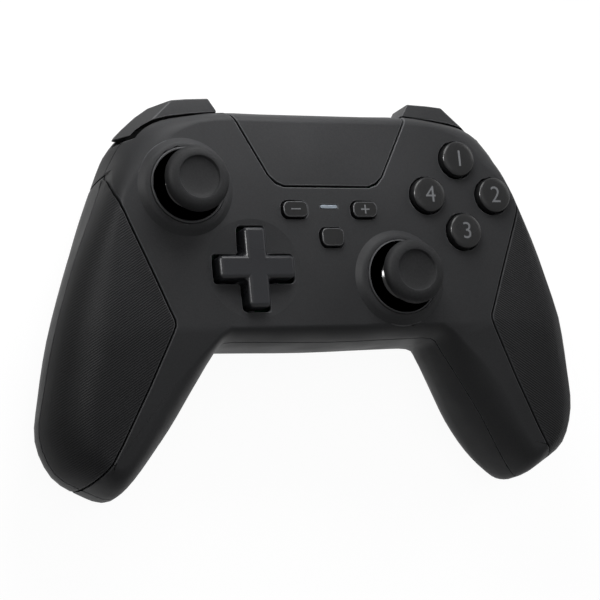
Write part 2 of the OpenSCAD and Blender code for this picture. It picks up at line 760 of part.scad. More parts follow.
// Turned edge of a face button, and the crown of its top
BUTTON_EDGE = [[0, -1], [-0.25, -0.5], [-0.8, -0.15], [-2, 0]];
button_crown = 0.1;
module face_button(i) {
    color(near_black) place() at_button(i) {
        rotate_extrude() polygon([
            [0, flange_z - flange_t], [button_d / 2 + flange_w, flange_z - flange_t],
            [button_d / 2 + flange_w, flange_z - flange_bevel],
            [button_d / 2 + flange_w - flange_bevel, flange_z], [button_d / 2, flange_z],
            each [for (p = BUTTON_EDGE) [button_d / 2, button_h] + p],
            [0, button_h + button_crown]
        ]);
        tube(dome_top + button_travel + stem_gap, flange_z - flange_t + weld, button_stem_r);
    }
}
module button_membrane() {
    color(rubber_grey) place() {
        for (i = [0:3]) at_button(i) rubber_dome(button_dome);
        translate([cluster_x, cluster_y, 0]) tube(board_top, board_top + sheet_t, cluster_r);
    }
}

// Small buttons, light bar and the switches under them
small_flange = 0.8;
small_stem_r = 1.4;
lens_rise = 0.1;
lens_flange_t = 0.9;
tact_w = 5;
tact_cap_h = 0.8;
tact_cap_r = 1.3;
module small_button(w, l) {
    slab(flange_z - flange_t, small_h) rounded(w, l, small_corner);
    slab(flange_z - flange_t, flange_z) rounded(w + 2 * small_flange, l + 2 * small_flange, small_corner);
    tube(switch_top + small_travel + stem_gap, flange_z - flange_t + weld, small_stem_r);
}
module mark_button(side) {
    color(near_black) place() translate([side * mark_x, mark_y, 0]) small_button(mark_w, mark_l);
}
module home_button() {
    color(near_black) place() translate([0, home_y, 0]) small_button(home_w, home_l);
}
module indicator_lens() {
    color([0.75, 0.8, 0.85]) place() translate([0, lens_y, 0]) {
        slab(flange_z, lens_rise) square([lens_w, lens_l], center = true);
        slab(flange_z - lens_flange_t, flange_z)
            square([lens_w + 2 * small_flange, lens_l + 2 * small_flange], center = true);
    }
}
SWITCHES = [[-mark_x, mark_y], [mark_x, mark_y], [0, home_y], [0, plate_stem_y]];
module tact_switches() {
    color(steel) place() for (p = SWITCHES) translate([p[0], p[1], 0]) {
        slab(board_top, switch_top - tact_cap_h) square(tact_w, center = true);
        tube(switch_top - tact_cap_h - sliver, switch_top, tact_cap_r);
    }
}

// Bumpers and their pins
BUMPER_PIN = [31.6, 33.2];
// Knee where the bumper's outer facet starts, the facet's turn on the face and its slope
KNEE = [41.4, 40];
facet_turn = -43;
facet_slope = 65;
facet_reach = 60;
module bumper(side) {
    color(shell_grey) place() on_side(side) difference() {
        slab(bumper_low, -bumper_top) polygon(BUMPER);
        translate([BUMPER_PIN[0], BUMPER_PIN[1], 0]) tube(bumper_low - over, 0, bumper_pin_r + pin_fit);
        translate([KNEE[0], KNEE[1], -bumper_top])
            rotate([0, 0, facet_turn]) rotate([-facet_slope, 0, 0])
                translate([-facet_reach / 2, -over, 0]) cube([facet_reach, facet_reach, facet_reach]);
    }
}
module bumper_pins() {
    color(steel) place() for (s = SIDES)
        translate([s * BUMPER_PIN[0], BUMPER_PIN[1], 0])
            tube(frame_low, -bumper_top - slide_gap, bumper_pin_r);
}

// Triggers, their pins and springs
TRIGGER_PIN = [31, -20.8];
ear_t = 2.2;
ear_inset = 0.4;
ear_past = 0.2;
EARS = [TRIGGER_X + ear_inset, TRIGGER_X + trigger_w + ear_past - ear_t];
hub_start = 6.6;
HUB_X = [TRIGGER_X + hub_start, EARS[1] - ear_inset];
hub_round = 3.2;
hub_inset = 2;
top_gap = 0.5;
trigger_top = frame_low - top_gap;
PAD = [[35.4, trigger_top], [38.2, trigger_top], [39.5, -19.2], [39.7, -21.6], [39, -24.4], [38, -27],
    [37.7, -29], [38.6, -30.8], [37.8, -31.6], [35.8, -30.6], [34.8, -27.4], [35, -24]];
module trigger(side) {
    color(shell_grey) place() on_side(side) difference() {
        union() {
            along_x(TRIGGER_X, TRIGGER_X + trigger_w) polygon(PAD);
            along_x(HUB_X[0], HUB_X[1]) {
                translate(TRIGGER_PIN) circle(hub_round);
                translate([TRIGGER_PIN[0], TRIGGER_PIN[1] - hub_round])
                    square([PAD[2][0] - TRIGGER_PIN[0] - hub_inset, 2 * hub_round]);
            }
        }
        along_x(0, grip_reach) translate(TRIGGER_PIN) circle(trigger_pin_r + pin_fit);
    }
}
module trigger_pin(side) {
    color(steel) place() on_side(side)
        along_x(EARS[0], EARS[1] + ear_t) translate(TRIGGER_PIN) circle(trigger_pin_r);
}
spring_wire = 0.3;
spring_turns = 4;
spring_steps = 12;
spring_sides = 6;
coil_gap = 0.25;
coil_side = 0.35;
spring_r = trigger_pin_r + spring_wire + coil_gap;
spring_pitch = 0.76;
SPRING_X = EARS[0] + ear_t + coil_side + spring_wire;
spring_count = spring_turns * spring_steps;
function spring_ring(k) =
    let (a = 360 * k / spring_steps, x = SPRING_X + spring_pitch * k / spring_steps)
    [for (j = [0:spring_sides - 1]) let (b = 360 * j / spring_sides, r = spring_r + spring_wire * cos(b))
        [x + spring_wire * sin(b), r * cos(a), r * sin(a)]];
module trigger_spring(side) {
    points = [for (k = [0:spring_count]) each spring_ring(k)];
    sides = [for (k = [0:spring_count - 1], j = [0:spring_sides - 1])
        let (a = k * spring_sides, b = a + spring_sides, n = (j + 1) % spring_sides)
        each [[a + j, b + j, b + n], [a + j, b + n, a + n]]];
    last = spring_count * spring_sides;
    ends = [for (j = [1:spring_sides - 2]) each [[0, j, j + 1], [last, last + j + 1, last + j]]];
    color(steel) place() on_side(side)
        translate([0, TRIGGER_PIN[0], TRIGGER_PIN[1]]) polyhedron(points, concat(sides, ends));
}

// Mid frame, board and what they carry
MOTOR = [58, -27];
motor_lid = 0.6;
motor_wall = 1.6;
motor_collar = 3;
motor_hole = 2;
motor_top = frame_top - motor_lid;
ARM = [[44, 4], [52, 2], [66, -24], [66, -46.5], [56.6, -46.5], [44, -14]];
frame_shelf = 33.4;
// Half widths of the frame's plate and its shelf, and the plate's ends
frame_half = 50;
shelf_half = 34;
FRAME_Y = [-18, 24];
ear_root = 20;
ear_trim = 0.8;
pin_wall = 1.4;
module frame_area() {
    translate([-frame_half, FRAME_Y[0]]) square([2 * frame_half, FRAME_Y[1] - FRAME_Y[0]]);
    translate([-shelf_half, 0]) square([2 * shelf_half, frame_shelf]);
    for (s = SIDES) on_side(s) {
        polygon(ARM);
        translate([BUMPER_PIN[0], BUMPER_PIN[1]]) circle(bumper_pin_r + pin_wall);
        translate([EARS[0], ear_root]) square([EARS[1] + ear_t - EARS[0], frame_shelf - ear_root]);
    }
}
module mid_frame() {
    color(near_black) place() difference() {
        union() {
            slab(frame_low, frame_top) frame_area();
            for (s = SIDES) on_side(s) {
                for (x = EARS) along_x(x, x + ear_t) {
                    translate(TRIGGER_PIN) circle(hub_round);
                    translate([TRIGGER_PIN[0] - hub_round, TRIGGER_PIN[1]])
                        square([2 * hub_round - ear_trim, frame_low - TRIGGER_PIN[1] + weld]);
                }
                along_x(bracket_x - bracket_t / 2, bracket_x + bracket_t / 2) {
                    translate([hinge_y, hinge_z]) circle(hinge_r + lug_wall);
                    translate([hinge_y - hinge_r - lug_wall, frame_top - weld])
                        square([2 * (hinge_r + lug_wall), hinge_z - frame_top + weld]);
                }
                translate([MOTOR[0], MOTOR[1], 0])
                    tube(frame_low - motor_collar, frame_top, motor_r + motor_wall);
            }
        }
        for (s = SIDES) on_side(s) {
            for (b = concat(BOSSES, [PANEL_BOSS])) translate([b[0], b[1], 0])
                tube(frame_low - over, frame_top + over, screw_r + shank_gap);
            translate([BUMPER_PIN[0], BUMPER_PIN[1], 0]) tube(frame_low - over, 0, bumper_pin_r + press_fit);
            along_x(0, grip_reach) translate(TRIGGER_PIN) circle(trigger_pin_r + press_fit);
            along_x(0, grip_reach) translate([hinge_y, hinge_z]) circle(hinge_r + pin_fit);
            translate([MOTOR[0], MOTOR[1], 0]) {
                tube(back_z, motor_top, motor_r + seat_gap);
                tube(back_z, 0, motor_hole);
            }
            for (p = BOARD_SCREWS)
                translate([p[0], p[1], 0]) tube(frame_low - over, 0, board_screw_r + pilot_fit);
        }
    }
}
BOARD_SCREWS = [[25, 22], [33.6, -15]];
board_screw_r = 0.9;
board_screw_gap = 0.2;
board_head_t = 1;
board_head_r = 1.8;
boss_gap = 0.4;
// Right half of the board's outline, from the port's tongue round to the lower edge
BOARD = [[9, 34], [9, 26], [50, 24], [54.6, 20], [54.6, 6], [49.6, -8], [36, -17.6]];
module main_board() {
    color(board_green) place() difference() {
        slab(frame_top, board_top)
            polygon(concat(BOARD, [for (i = [len(BOARD) - 1:-1:0]) [-BOARD[i][0], BOARD[i][1]]]));
        for (s = SIDES) on_side(s) {
            for (b = BOSSES) translate([b[0], b[1], 0]) tube(frame_top - over, 0, boss_r + boss_gap);
            for (p = BOARD_SCREWS)
                translate([p[0], p[1], 0]) tube(frame_top - over, 0, board_screw_r + board_screw_gap);
        }
    }
}
module board_screws() {
    color(steel) place() for (s = SIDES, p = BOARD_SCREWS) translate([s * p[0], p[1], 0]) {
        tube(frame_low, board_top + board_head_t / 2, board_screw_r);
        tube(board_top, board_top + board_head_t, board_head_r);
    }
}
module housing_screw(top) {
    tube(back_z + head_seat - head_t, back_z + head_seat, head_r);
    tube(back_z + head_seat - root, top, screw_r);
}
module housing_screws() {
    color(steel) place() for (s = SIDES) on_side(s) for (b = concat(BOSSES, [PANEL_BOSS]))
        translate([b[0], b[1], 0]) housing_screw(frame_top + screw_bite);
}
port_inset = 0.5;
port_end = STATIONS[0][1] - port_inset;
port_l = 8;
port_wall = 0.4;
tongue_w = 6.4;
tongue_t = 0.7;
module usb_port() {
    color(steel) place() translate([0, 0, port_z]) {
        difference() {
            along_y(port_end - port_l, port_end) port_area(0);
            along_y(port_end - port_l + over, port_end + over) port_area(-port_wall);
        }
        translate([-tongue_w / 2, port_end - port_l, -tongue_t / 2]) cube([tongue_w, port_l - over, tongue_t]);
    }
}
battery_y = 2;
module battery() {
    color([0.3, 0.32, 0.36]) place()
        translate([-battery_w / 2, battery_y - battery_l / 2, frame_low - seat_gap - battery_t])
            cube([battery_w, battery_l, battery_t]);
}
motor_shaft_r = 0.8;
weight_gap = 0.6;
weight_hub = 2.2;
weight_low = frame_top + weight_gap;
weight_t = 4.6;
module rumble_motor(side) {
    color(steel) place() on_side(side) translate([MOTOR[0], MOTOR[1], 0]) {
        tube(motor_top - motor_l, motor_top, motor_r);
        tube(motor_top - over, weight_low + weight_t, motor_shaft_r);
    }
}
module rumble_weight(side) {
    color([0.55, 0.5, 0.35]) place() on_side(side) translate([MOTOR[0], MOTOR[1], 0]) difference() {
        slab(weight_low, weight_low + weight_t) {
            circle(weight_hub);
            intersection() {
                circle(weight_r);
                translate([-weight_r, -2 * weight_r]) square(2 * weight_r);
            }
        }
        tube(back_z, 0, motor_shaft_r + pin_fit);
    }
}

front_shell();
rear_shell();
mid_frame();
grip_panel(-1);  // left_grip_panel
grip_panel(1);  // right_grip_panel
grip_back(-1);  // left_grip_back
grip_back(1);  // right_grip_back
touch_plate();
stick_ring(-1);  // left_stick_ring
stick_ring(1);  // right_stick_ring
stick_cap(-1);  // left_stick_cap
stick_cap(1);  // right_stick_cap
stick_dome(-1);  // left_stick_dome
stick_dome(1);  // right_stick_dome
stick_rocker(-1);  // left_stick_rocker
stick_rocker(1);  // right_stick_rocker
stick_yoke(-1);  // left_stick_yoke
stick_yoke(1);  // right_stick_yoke
stick_module(-1);  // left_stick_module
stick_module(1);  // right_stick_module
dpad();
dpad_pivot();
dpad_post();
dpad_membrane();
face_button(0);  // button_north
face_button(1);  // button_east
face_button(2);  // button_south
face_button(3);  // button_west
button_membrane();
mark_button(-1);  // minus_button
mark_button(1);  // plus_button
home_button();
indicator_lens();
tact_switches();
bumper(-1);  // left_bumper
bumper(1);  // right_bumper
bumper_pins();
trigger(-1);  // left_trigger
trigger(1);  // right_trigger
trigger_pin(-1);  // left_trigger_pin
trigger_pin(1);  // right_trigger_pin
trigger_spring(-1);  // left_trigger_spring
trigger_spring(1);  // right_trigger_spring
main_board();
board_screws();
housing_screws();
usb_port();
battery();
rumble_motor(-1);  // left_rumble_motor
rumble_motor(1);  // right_rumble_motor
rumble_weight(-1);  // left_rumble_weight
rumble_weight(1);  // right_rumble_weight
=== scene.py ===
"""Looks of the gamepad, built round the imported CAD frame."""

import json
import logging
import math
from dataclasses import dataclass, field, replace
from enum import Enum
from typing import Callable, Iterable, Iterator, Sequence

import bpy
from mathutils import Matrix, Vector

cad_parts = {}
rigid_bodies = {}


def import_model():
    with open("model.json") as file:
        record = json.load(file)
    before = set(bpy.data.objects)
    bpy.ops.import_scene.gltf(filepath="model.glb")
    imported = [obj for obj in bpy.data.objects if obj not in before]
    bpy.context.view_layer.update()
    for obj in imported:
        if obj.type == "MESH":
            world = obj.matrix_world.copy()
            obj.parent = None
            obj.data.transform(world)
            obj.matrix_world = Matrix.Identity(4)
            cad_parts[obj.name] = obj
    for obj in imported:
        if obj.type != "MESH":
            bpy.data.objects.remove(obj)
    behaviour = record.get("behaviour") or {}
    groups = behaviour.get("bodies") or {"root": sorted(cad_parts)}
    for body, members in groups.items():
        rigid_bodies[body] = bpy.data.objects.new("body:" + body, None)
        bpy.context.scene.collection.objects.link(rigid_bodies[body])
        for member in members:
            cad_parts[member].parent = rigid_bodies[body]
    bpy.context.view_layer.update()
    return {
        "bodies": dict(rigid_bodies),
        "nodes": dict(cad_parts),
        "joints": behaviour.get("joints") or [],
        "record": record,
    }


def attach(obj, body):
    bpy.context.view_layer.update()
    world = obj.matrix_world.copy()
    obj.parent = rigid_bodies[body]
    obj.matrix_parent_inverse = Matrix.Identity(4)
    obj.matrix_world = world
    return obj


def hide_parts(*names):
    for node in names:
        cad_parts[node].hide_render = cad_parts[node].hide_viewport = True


LOG = logging.getLogger("gamepad")
MM = 0.001
# Place of the face plane's origin in the row frame
FACE = Vector((0.0, 10.4 * MM, 36.0 * MM))
RIB_MASK = "ribbed"
# Farthest apart that two points are merged, in millimetres
MERGE_GAP = 0.004
# Turn in degrees up to which neighbouring faces count as level
LEVEL_TURN = 0.4
# Least crease in degrees that a shaded piece keeps
LEAST_CREASE = 30.0
# How far large faces rule the shading of a piece, of 100
FACE_WEIGHT = 80

Colour = tuple[float, float, float]
Rings = tuple[tuple[float, float], ...]
Ends = tuple[Vector, Vector]
EdgeTest = Callable[[Ends, list[Vector]], bool]
Material = bpy.types.Material
Mesh = bpy.types.Mesh
Node = bpy.types.Node
Piece = bpy.types.Object
Polygon = bpy.types.MeshPolygon
Socket = bpy.types.NodeSocket
Tree = bpy.types.NodeTree
Inputs = dict[str | int, object]


def on_face(x: float, y: float, z: float) -> Vector:
    """Gives the row-frame place of a point measured from the face.

    Args:
        x: Millimetres to the pad's right.
        y: Millimetres towards the shoulders.
        z: Millimetres over the face.

    Returns:
        The point in metres.
    """
    return FACE + Vector((x, y, z)) * MM


def is_corner(ends: Ends, sides: list[Vector]) -> bool:
    """Tells whether an edge is an upright square corner.

    Args:
        ends: Both ends of the edge.
        sides: Directions of the faces beside it.

    Returns:
        True for such a corner.
    """
    along = ends[1] - ends[0]
    return abs(along.z) > 0.99 * along.length and abs(sides[0].dot(sides[-1])) < 0.3


def fill(tree: Tree, node: Node, inputs: Inputs) -> None:
    """Links or sets the inputs of a node.

    Args:
        tree: The node's tree.
        node: The node.
        inputs: Socket to link or value to set, by the input's name or number.
    """
    for label, value in inputs.items():
        if isinstance(value, Socket):
            tree.links.new(value, node.inputs[label])
        else:
            node.inputs[label].default_value = value


def add(tree: Tree, kind: str, inputs: Inputs) -> Node:
    """Adds a node and fills its inputs.

    Args:
        tree: The node tree to add to.
        kind: Type of the node, without the prefix that all have.
        inputs: Socket to link or value to set, by the input's name or number.

    Returns:
        The node.
    """
    node = tree.nodes.new(f"ShaderNode{kind}")
    fill(tree, node, inputs)
    return node


def maths(tree: Tree, kind: str, a: Socket | float, b: Socket | float) -> Socket:
    """Adds a maths node on sockets or numbers.

    Args:
        tree: The node tree to add to.
        kind: Operation of the node.
        a: First socket or number.
        b: Second socket or number.

    Returns:
        The result socket.
    """
    node = add(tree, "Math", {0: a, 1: b})
    node.operation = kind
    return node.outputs[0]


def seen_by(tree: Tree, labels: Sequence[str]) -> Socket:
    """Adds nodes that tell whether a ray is of one of some kinds.

    Args:
        tree: The node tree to add to.
        labels: Names of the kinds.

    Returns:
        A socket that is 1 for such a ray.
    """
    path = add(tree, "LightPath", {})
    total = path.outputs[labels[0]]
    for label in labels[1:]:
        total = maths(tree, "MAXIMUM", total, path.outputs[label])
    return total


class Texture(Enum):
    """Kinds of surface detail that a finish can carry."""

    MOULDED = "moulded"
    RIBBED = "ribbed"
    BRUSHED = "brushed"
    TRACES = "traces"


class Groups:
    """Shader node groups that several finishes share, each built once."""

    def __init__(self) -> None:
        """Starts with no group built."""
        self._built: dict[Texture, Tree] = {}

    def get(self, kind: Texture) -> Tree:
        """Gives the group of one kind of detail.

        Args:
            kind: The surface detail wanted.

        Returns:
            The node group, with outputs Tone, Rough and Height.
        """
        if kind not in self._built:
            makers: dict[Texture, Callable[[], Tree]] = {
                Texture.MOULDED: self._moulded,
                Texture.RIBBED: self._ribbed,
                Texture.BRUSHED: self._brushed,
                Texture.TRACES: self._traces,
            }
            self._built[kind] = makers[kind]()
        return self._built[kind]

    @staticmethod
    def _shell(name: str, inputs: Iterable[tuple[str, float]]) -> tuple[Tree, Node, Node]:
        """Makes an empty group with the common sockets.

        Args:
            name: Name of the group.
            inputs: Names and defaults of its value inputs.

        Returns:
            The tree, its input node and its output node.
        """
        tree = bpy.data.node_groups.new(name, "ShaderNodeTree")
        tree.interface.new_socket("Vector", in_out="INPUT", socket_type="NodeSocketVector")
        for label, value in inputs:
            socket = tree.interface.new_socket(label, in_out="INPUT", socket_type="NodeSocketFloat")
            socket.default_value = value
        for label in ("Tone", "Rough", "Height"):
            tree.interface.new_socket(label, in_out="OUTPUT", socket_type="NodeSocketFloat")
        return tree, tree.nodes.new("NodeGroupInput"), tree.nodes.new("NodeGroupOutput")

    @staticmethod
    def _noise(tree: Tree, vector: Socket, scale: Socket | float, detail: float) -> Socket:
        """Adds a noise.

        Args:
            tree: The group to add to.
            vector: Socket that gives the coordinates.
            scale: Features in each metre.
            detail: Octaves of finer noise.

        Returns:
            The noise value.
        """
        inputs = {"Vector": vector, "Scale": scale, "Detail": detail}
        return add(tree, "TexNoise", inputs).outputs["Fac"]

    @staticmethod
    def _spread(tree: Tree, value: Socket, low: float, high: float) -> Socket:
        """Maps a noise value onto a range.

        Args:
            tree: The group to add to.
            value: Socket with a value about 0 to 1.
            low: Result at 0.3.
            high: Result at 0.7.

        Returns:
            The mapped socket.
        """
        limits = {"From Min": 0.3, "From Max": 0.7, "To Min": low, "To Max": high}
        return add(tree, "MapRange", {"Value": value, **limits}).outputs["Result"]

    def _moulded(self) -> Tree:
        """Builds the fine even grain of spark-textured plastic.

        Returns:
            The node group.
        """
        tree, source, out = self._shell("moulded_grain", (("Roughness", 0.5), ("Grain", 2600.0)))
        vector = source.outputs["Vector"]
        fine = self._noise(tree, vector, source.outputs["Grain"], 2.0)
        broad = self._noise(tree, vector, 38.0, 3.0)
        tone = maths(tree, "ADD", maths(tree, "MULTIPLY", broad, 0.55),
                     maths(tree, "MULTIPLY", fine, 0.45))
        smear = self._spread(tree, self._noise(tree, vector, 90.0, 2.0), -0.05, 0.05)
        rough = maths(tree, "ADD", source.outputs["Roughness"], smear)
        fill(tree, out, {"Tone": tone, "Rough": rough, "Height": fine})
        return tree

    def _ribbed(self) -> Tree:
        """Builds the fine slanting ribs of the grip panels.

        Returns:
            The node group.
        """
        inputs = (("Roughness", 0.6), ("Ribs", 560.0), ("Share", 1.0))
        tree, source, out = self._shell("slanting_ribs", inputs)
        vector = source.outputs["Vector"]
        wave = add(tree, "TexWave", {"Vector": vector, "Scale": source.outputs["Ribs"], "Distortion": 0.0})
        wave.wave_type = "BANDS"
        wave.bands_direction = "Y"
        grain = self._noise(tree, vector, 1500.0, 2.0)
        patch = self._noise(tree, vector, 60.0, 3.0)
        centred = maths(tree, "SUBTRACT", wave.outputs["Fac"], 0.5)
        faded = maths(tree, "MULTIPLY", centred, source.outputs["Share"])
        ribs = maths(tree, "ADD", faded, 0.5)
        height = maths(tree, "ADD", ribs, maths(tree, "MULTIPLY", grain, 0.5))
        # The tone follows the ribs, so the grooves take the dark colour: a painted shade in them.
        tone = maths(tree, "ADD", maths(tree, "MULTIPLY", ribs, 0.6),
                     maths(tree, "MULTIPLY", patch, 0.4))
        smear = self._spread(tree, patch, -0.06, 0.06)
        rough = maths(tree, "ADD", source.outputs["Roughness"], smear)
        fill(tree, out, {"Tone": tone, "Rough": rough, "Height": height})
        return tree

    def _brushed(self) -> Tree:
        """Builds the short drawn scratches of bare metal.

        Returns:
            The node group.
        """
        tree, source, out = self._shell("drawn_metal", (("Roughness", 0.3),))
        vector = source.outputs["Vector"]
        stretch = add(tree, "Mapping", {"Vector": vector, "Scale": (1.0, 14.0, 14.0)})
        lines = self._noise(tree, stretch.outputs["Vector"], 420.0, 4.0)
        cloud = self._noise(tree, vector, 120.0, 2.0)
        smear = self._spread(tree, lines, -0.1, 0.12)
        rough = maths(tree, "ADD", source.outputs["Roughness"], smear)
        fill(tree, out, {"Tone": cloud, "Rough": rough, "Height": lines})
        return tree

    def _traces(self) -> Tree:
        """Builds the squared copper runs under a board's lacquer.

        Returns:
            The node group.
        """
        tree, source, out = self._shell("lacquered_runs", (("Roughness", 0.35),))
        cells = add(tree, "TexVoronoi", {"Vector": source.outputs["Vector"], "Scale": 260.0})
        cells.distance = "CHEBYCHEV"
        cells.feature = "F1"
        runs = self._spread(tree, cells.outputs["Distance"], 0.0, 1.0)
        worn = maths(tree, "MULTIPLY", runs, 0.1)
        rough = maths(tree, "ADD", source.outputs["Roughness"], worn)
        fill(tree, out, {"Tone": runs, "Rough": rough, "Height": runs})
        return tree


@dataclass(frozen=True)
class Finish:
    """One material finish of the pad.

    Attributes:
        name: Name of the material.
        dark: Colour in the hollows of its detail; in the rib grooves this is a painted shade.
        light: Colour on the heights of its detail.
        roughness: Mean roughness.
        texture: Kind of detail.
        density: Features of the finest detail in each metre, where the detail takes one.
        bump: Strength of the detail's relief.
        depth: Height of that relief in metres.
        turn: Turn of the detail about Z, in degrees.
        metallic: Whether it is bare metal.
        coat: Weight of a clear coat.
        specular: Specular level.
        mask: Name of the mesh attribute that fades the detail, where there is one.
        edge_lift: How many times paler its bevelled edges are painted, a painted highlight along them.
    """

    name: str
    dark: Colour
    light: Colour
    roughness: float = 0.5
    texture: Texture = Texture.MOULDED
    density: float = 2600.0
    bump: float = 0.3
    depth: float = 0.00006
    turn: float = 0.0
    metallic: bool = False
    coat: float = 0.0
    specular: float = 0.5
    mask: str = ""
    edge_lift: float = 2.2

    def edge(self) -> "Finish":
        """Gives the paler copy of this finish that paints a highlight on its bevelled edges.

        Returns:
            The finish.
        """
        dark = tuple(value * self.edge_lift for value in self.dark)
        light = tuple(value * self.edge_lift for value in self.light)
        return replace(self, name=f"{self.name}_edge", dark=dark, light=light, texture=Texture.MOULDED,
                       bump=0.1, density=2600.0, mask="")

    def material(self, groups: Groups) -> Material:
        """Gives the finish's material, made on first use.

        Args:
            groups: The shared node groups.

        Returns:
            The material.
        """
        known = bpy.data.materials.get(self.name)
        if known is not None:
            return known
        made = bpy.data.materials.new(self.name)
        made.use_nodes = True
        made.diffuse_color = (*self.light, 1.0)
        tree = made.node_tree
        place = add(tree, "TexCoord", {}).outputs["Object"]
        angles = (0.0, 0.0, math.radians(self.turn))
        vector = add(tree, "Mapping", {"Vector": place, "Rotation": angles}).outputs["Vector"]
        detail = tree.nodes.new("ShaderNodeGroup")
        detail.node_tree = groups.get(self.texture)
        fill(tree, detail, {"Vector": vector, "Roughness": self.roughness})
        for label in ("Grain", "Ribs"):
            if label in detail.inputs:
                detail.inputs[label].default_value = self.density
        if self.mask:
            share = add(tree, "Attribute", {})
            share.attribute_name = self.mask
            fill(tree, detail, {"Share": share.outputs["Fac"]})
        ramp = add(tree, "ValToRGB", {"Fac": detail.outputs["Tone"]})
        colours = (self.dark, self.light)
        for element, position, colour in zip(ramp.color_ramp.elements, (0.3, 0.7), colours):
            element.position = position
            element.color = (*colour, 1.0)
        relief = add(tree, "Bump", {"Strength": self.bump, "Distance": self.depth,
                                    "Height": detail.outputs["Height"]})
        fill(tree, tree.nodes["Principled BSDF"], {
            "Base Color": ramp.outputs["Color"], "Roughness": detail.outputs["Rough"],
            "Normal": relief.outputs["Normal"], "Metallic": float(self.metallic),
            "Specular IOR Level": self.specular, "Coat Weight": self.coat, "Coat Roughness": 0.08,
        })
        return made


SHELL = Finish("shell_plastic", (0.024, 0.0243, 0.0255), (0.034, 0.0344, 0.036), 0.5, bump=0.22,
               specular=0.08)
STRIP = replace(SHELL, name="grip_back_plastic", bump=0.12)
SHOULDER = Finish("bumper_plastic", (0.026, 0.0263, 0.0275), (0.036, 0.0364, 0.038), 0.42, bump=0.16,
                  specular=0.1)
# The rib grooves are painted near black, a painted shade in them.
RIBS_LEFT = Finish("grip_ribs_left", (0.009, 0.0091, 0.0096), (0.033, 0.0333, 0.035), 0.55,
                   Texture.RIBBED, 540.0, 0.6, 0.00009, -32.0, specular=0.07, mask=RIB_MASK)
RIBS_RIGHT = replace(RIBS_LEFT, name="grip_ribs_right", turn=-RIBS_LEFT.turn)
CAP_RUBBER = Finish("stick_rubber", (0.014, 0.0142, 0.0148), (0.027, 0.0273, 0.0285), 0.6,
                    density=1900.0, bump=0.3, specular=0.08)
DOME_GLOSS = Finish("dome_gloss", (0.002, 0.002, 0.002), (0.003, 0.003, 0.003), 0.16, density=900.0,
                    bump=0.01, specular=0.3)
# The black buttons and the pad paint a strong highlight on their bevels, seven and five times paler.
BUTTON_BLACK = Finish("button_black", (0.006, 0.0061, 0.0064), (0.011, 0.0111, 0.0116), 0.26,
                      density=1500.0, bump=0.05, specular=0.22, edge_lift=7.0)
PAD_SATIN = Finish("pad_satin", (0.011, 0.0114, 0.0132), (0.018, 0.0186, 0.0215), 0.3, bump=0.08,
                   specular=0.2, edge_lift=5.0)
PRINT = Finish("mark_ink", (0.125, 0.128, 0.135), (0.16, 0.164, 0.172), 0.5, density=1800.0,
               bump=0.08, specular=0.2)
LENS = Finish("light_bar", (0.18, 0.205, 0.235), (0.2, 0.226, 0.257), 0.45, density=800.0,
              bump=0.03, specular=0.2)
STEEL = Finish("bare_steel", (0.42, 0.42, 0.43), (0.58, 0.58, 0.6), 0.3, Texture.BRUSHED, bump=0.12,
               depth=0.00003, metallic=True)
BRASS = replace(STEEL, name="turned_brass", dark=(0.45, 0.33, 0.12), light=(0.62, 0.48, 0.2))
FRAME_BLACK = Finish("frame_plastic", (0.012, 0.012, 0.0126), (0.02, 0.02, 0.021), 0.55, bump=0.2,
                     specular=0.2)
SILICONE = Finish("silicone", (0.3, 0.31, 0.32), (0.4, 0.41, 0.43), 0.6, density=1200.0, bump=0.1)
LACQUER = Finish("board_lacquer", (0.008, 0.07, 0.03), (0.03, 0.16, 0.075), 0.3, Texture.TRACES,
                 bump=0.2, depth=0.00004, coat=0.3)
FILM = Finish("battery_film", (0.1, 0.115, 0.14), (0.15, 0.165, 0.2), 0.35, density=700.0, bump=0.1)


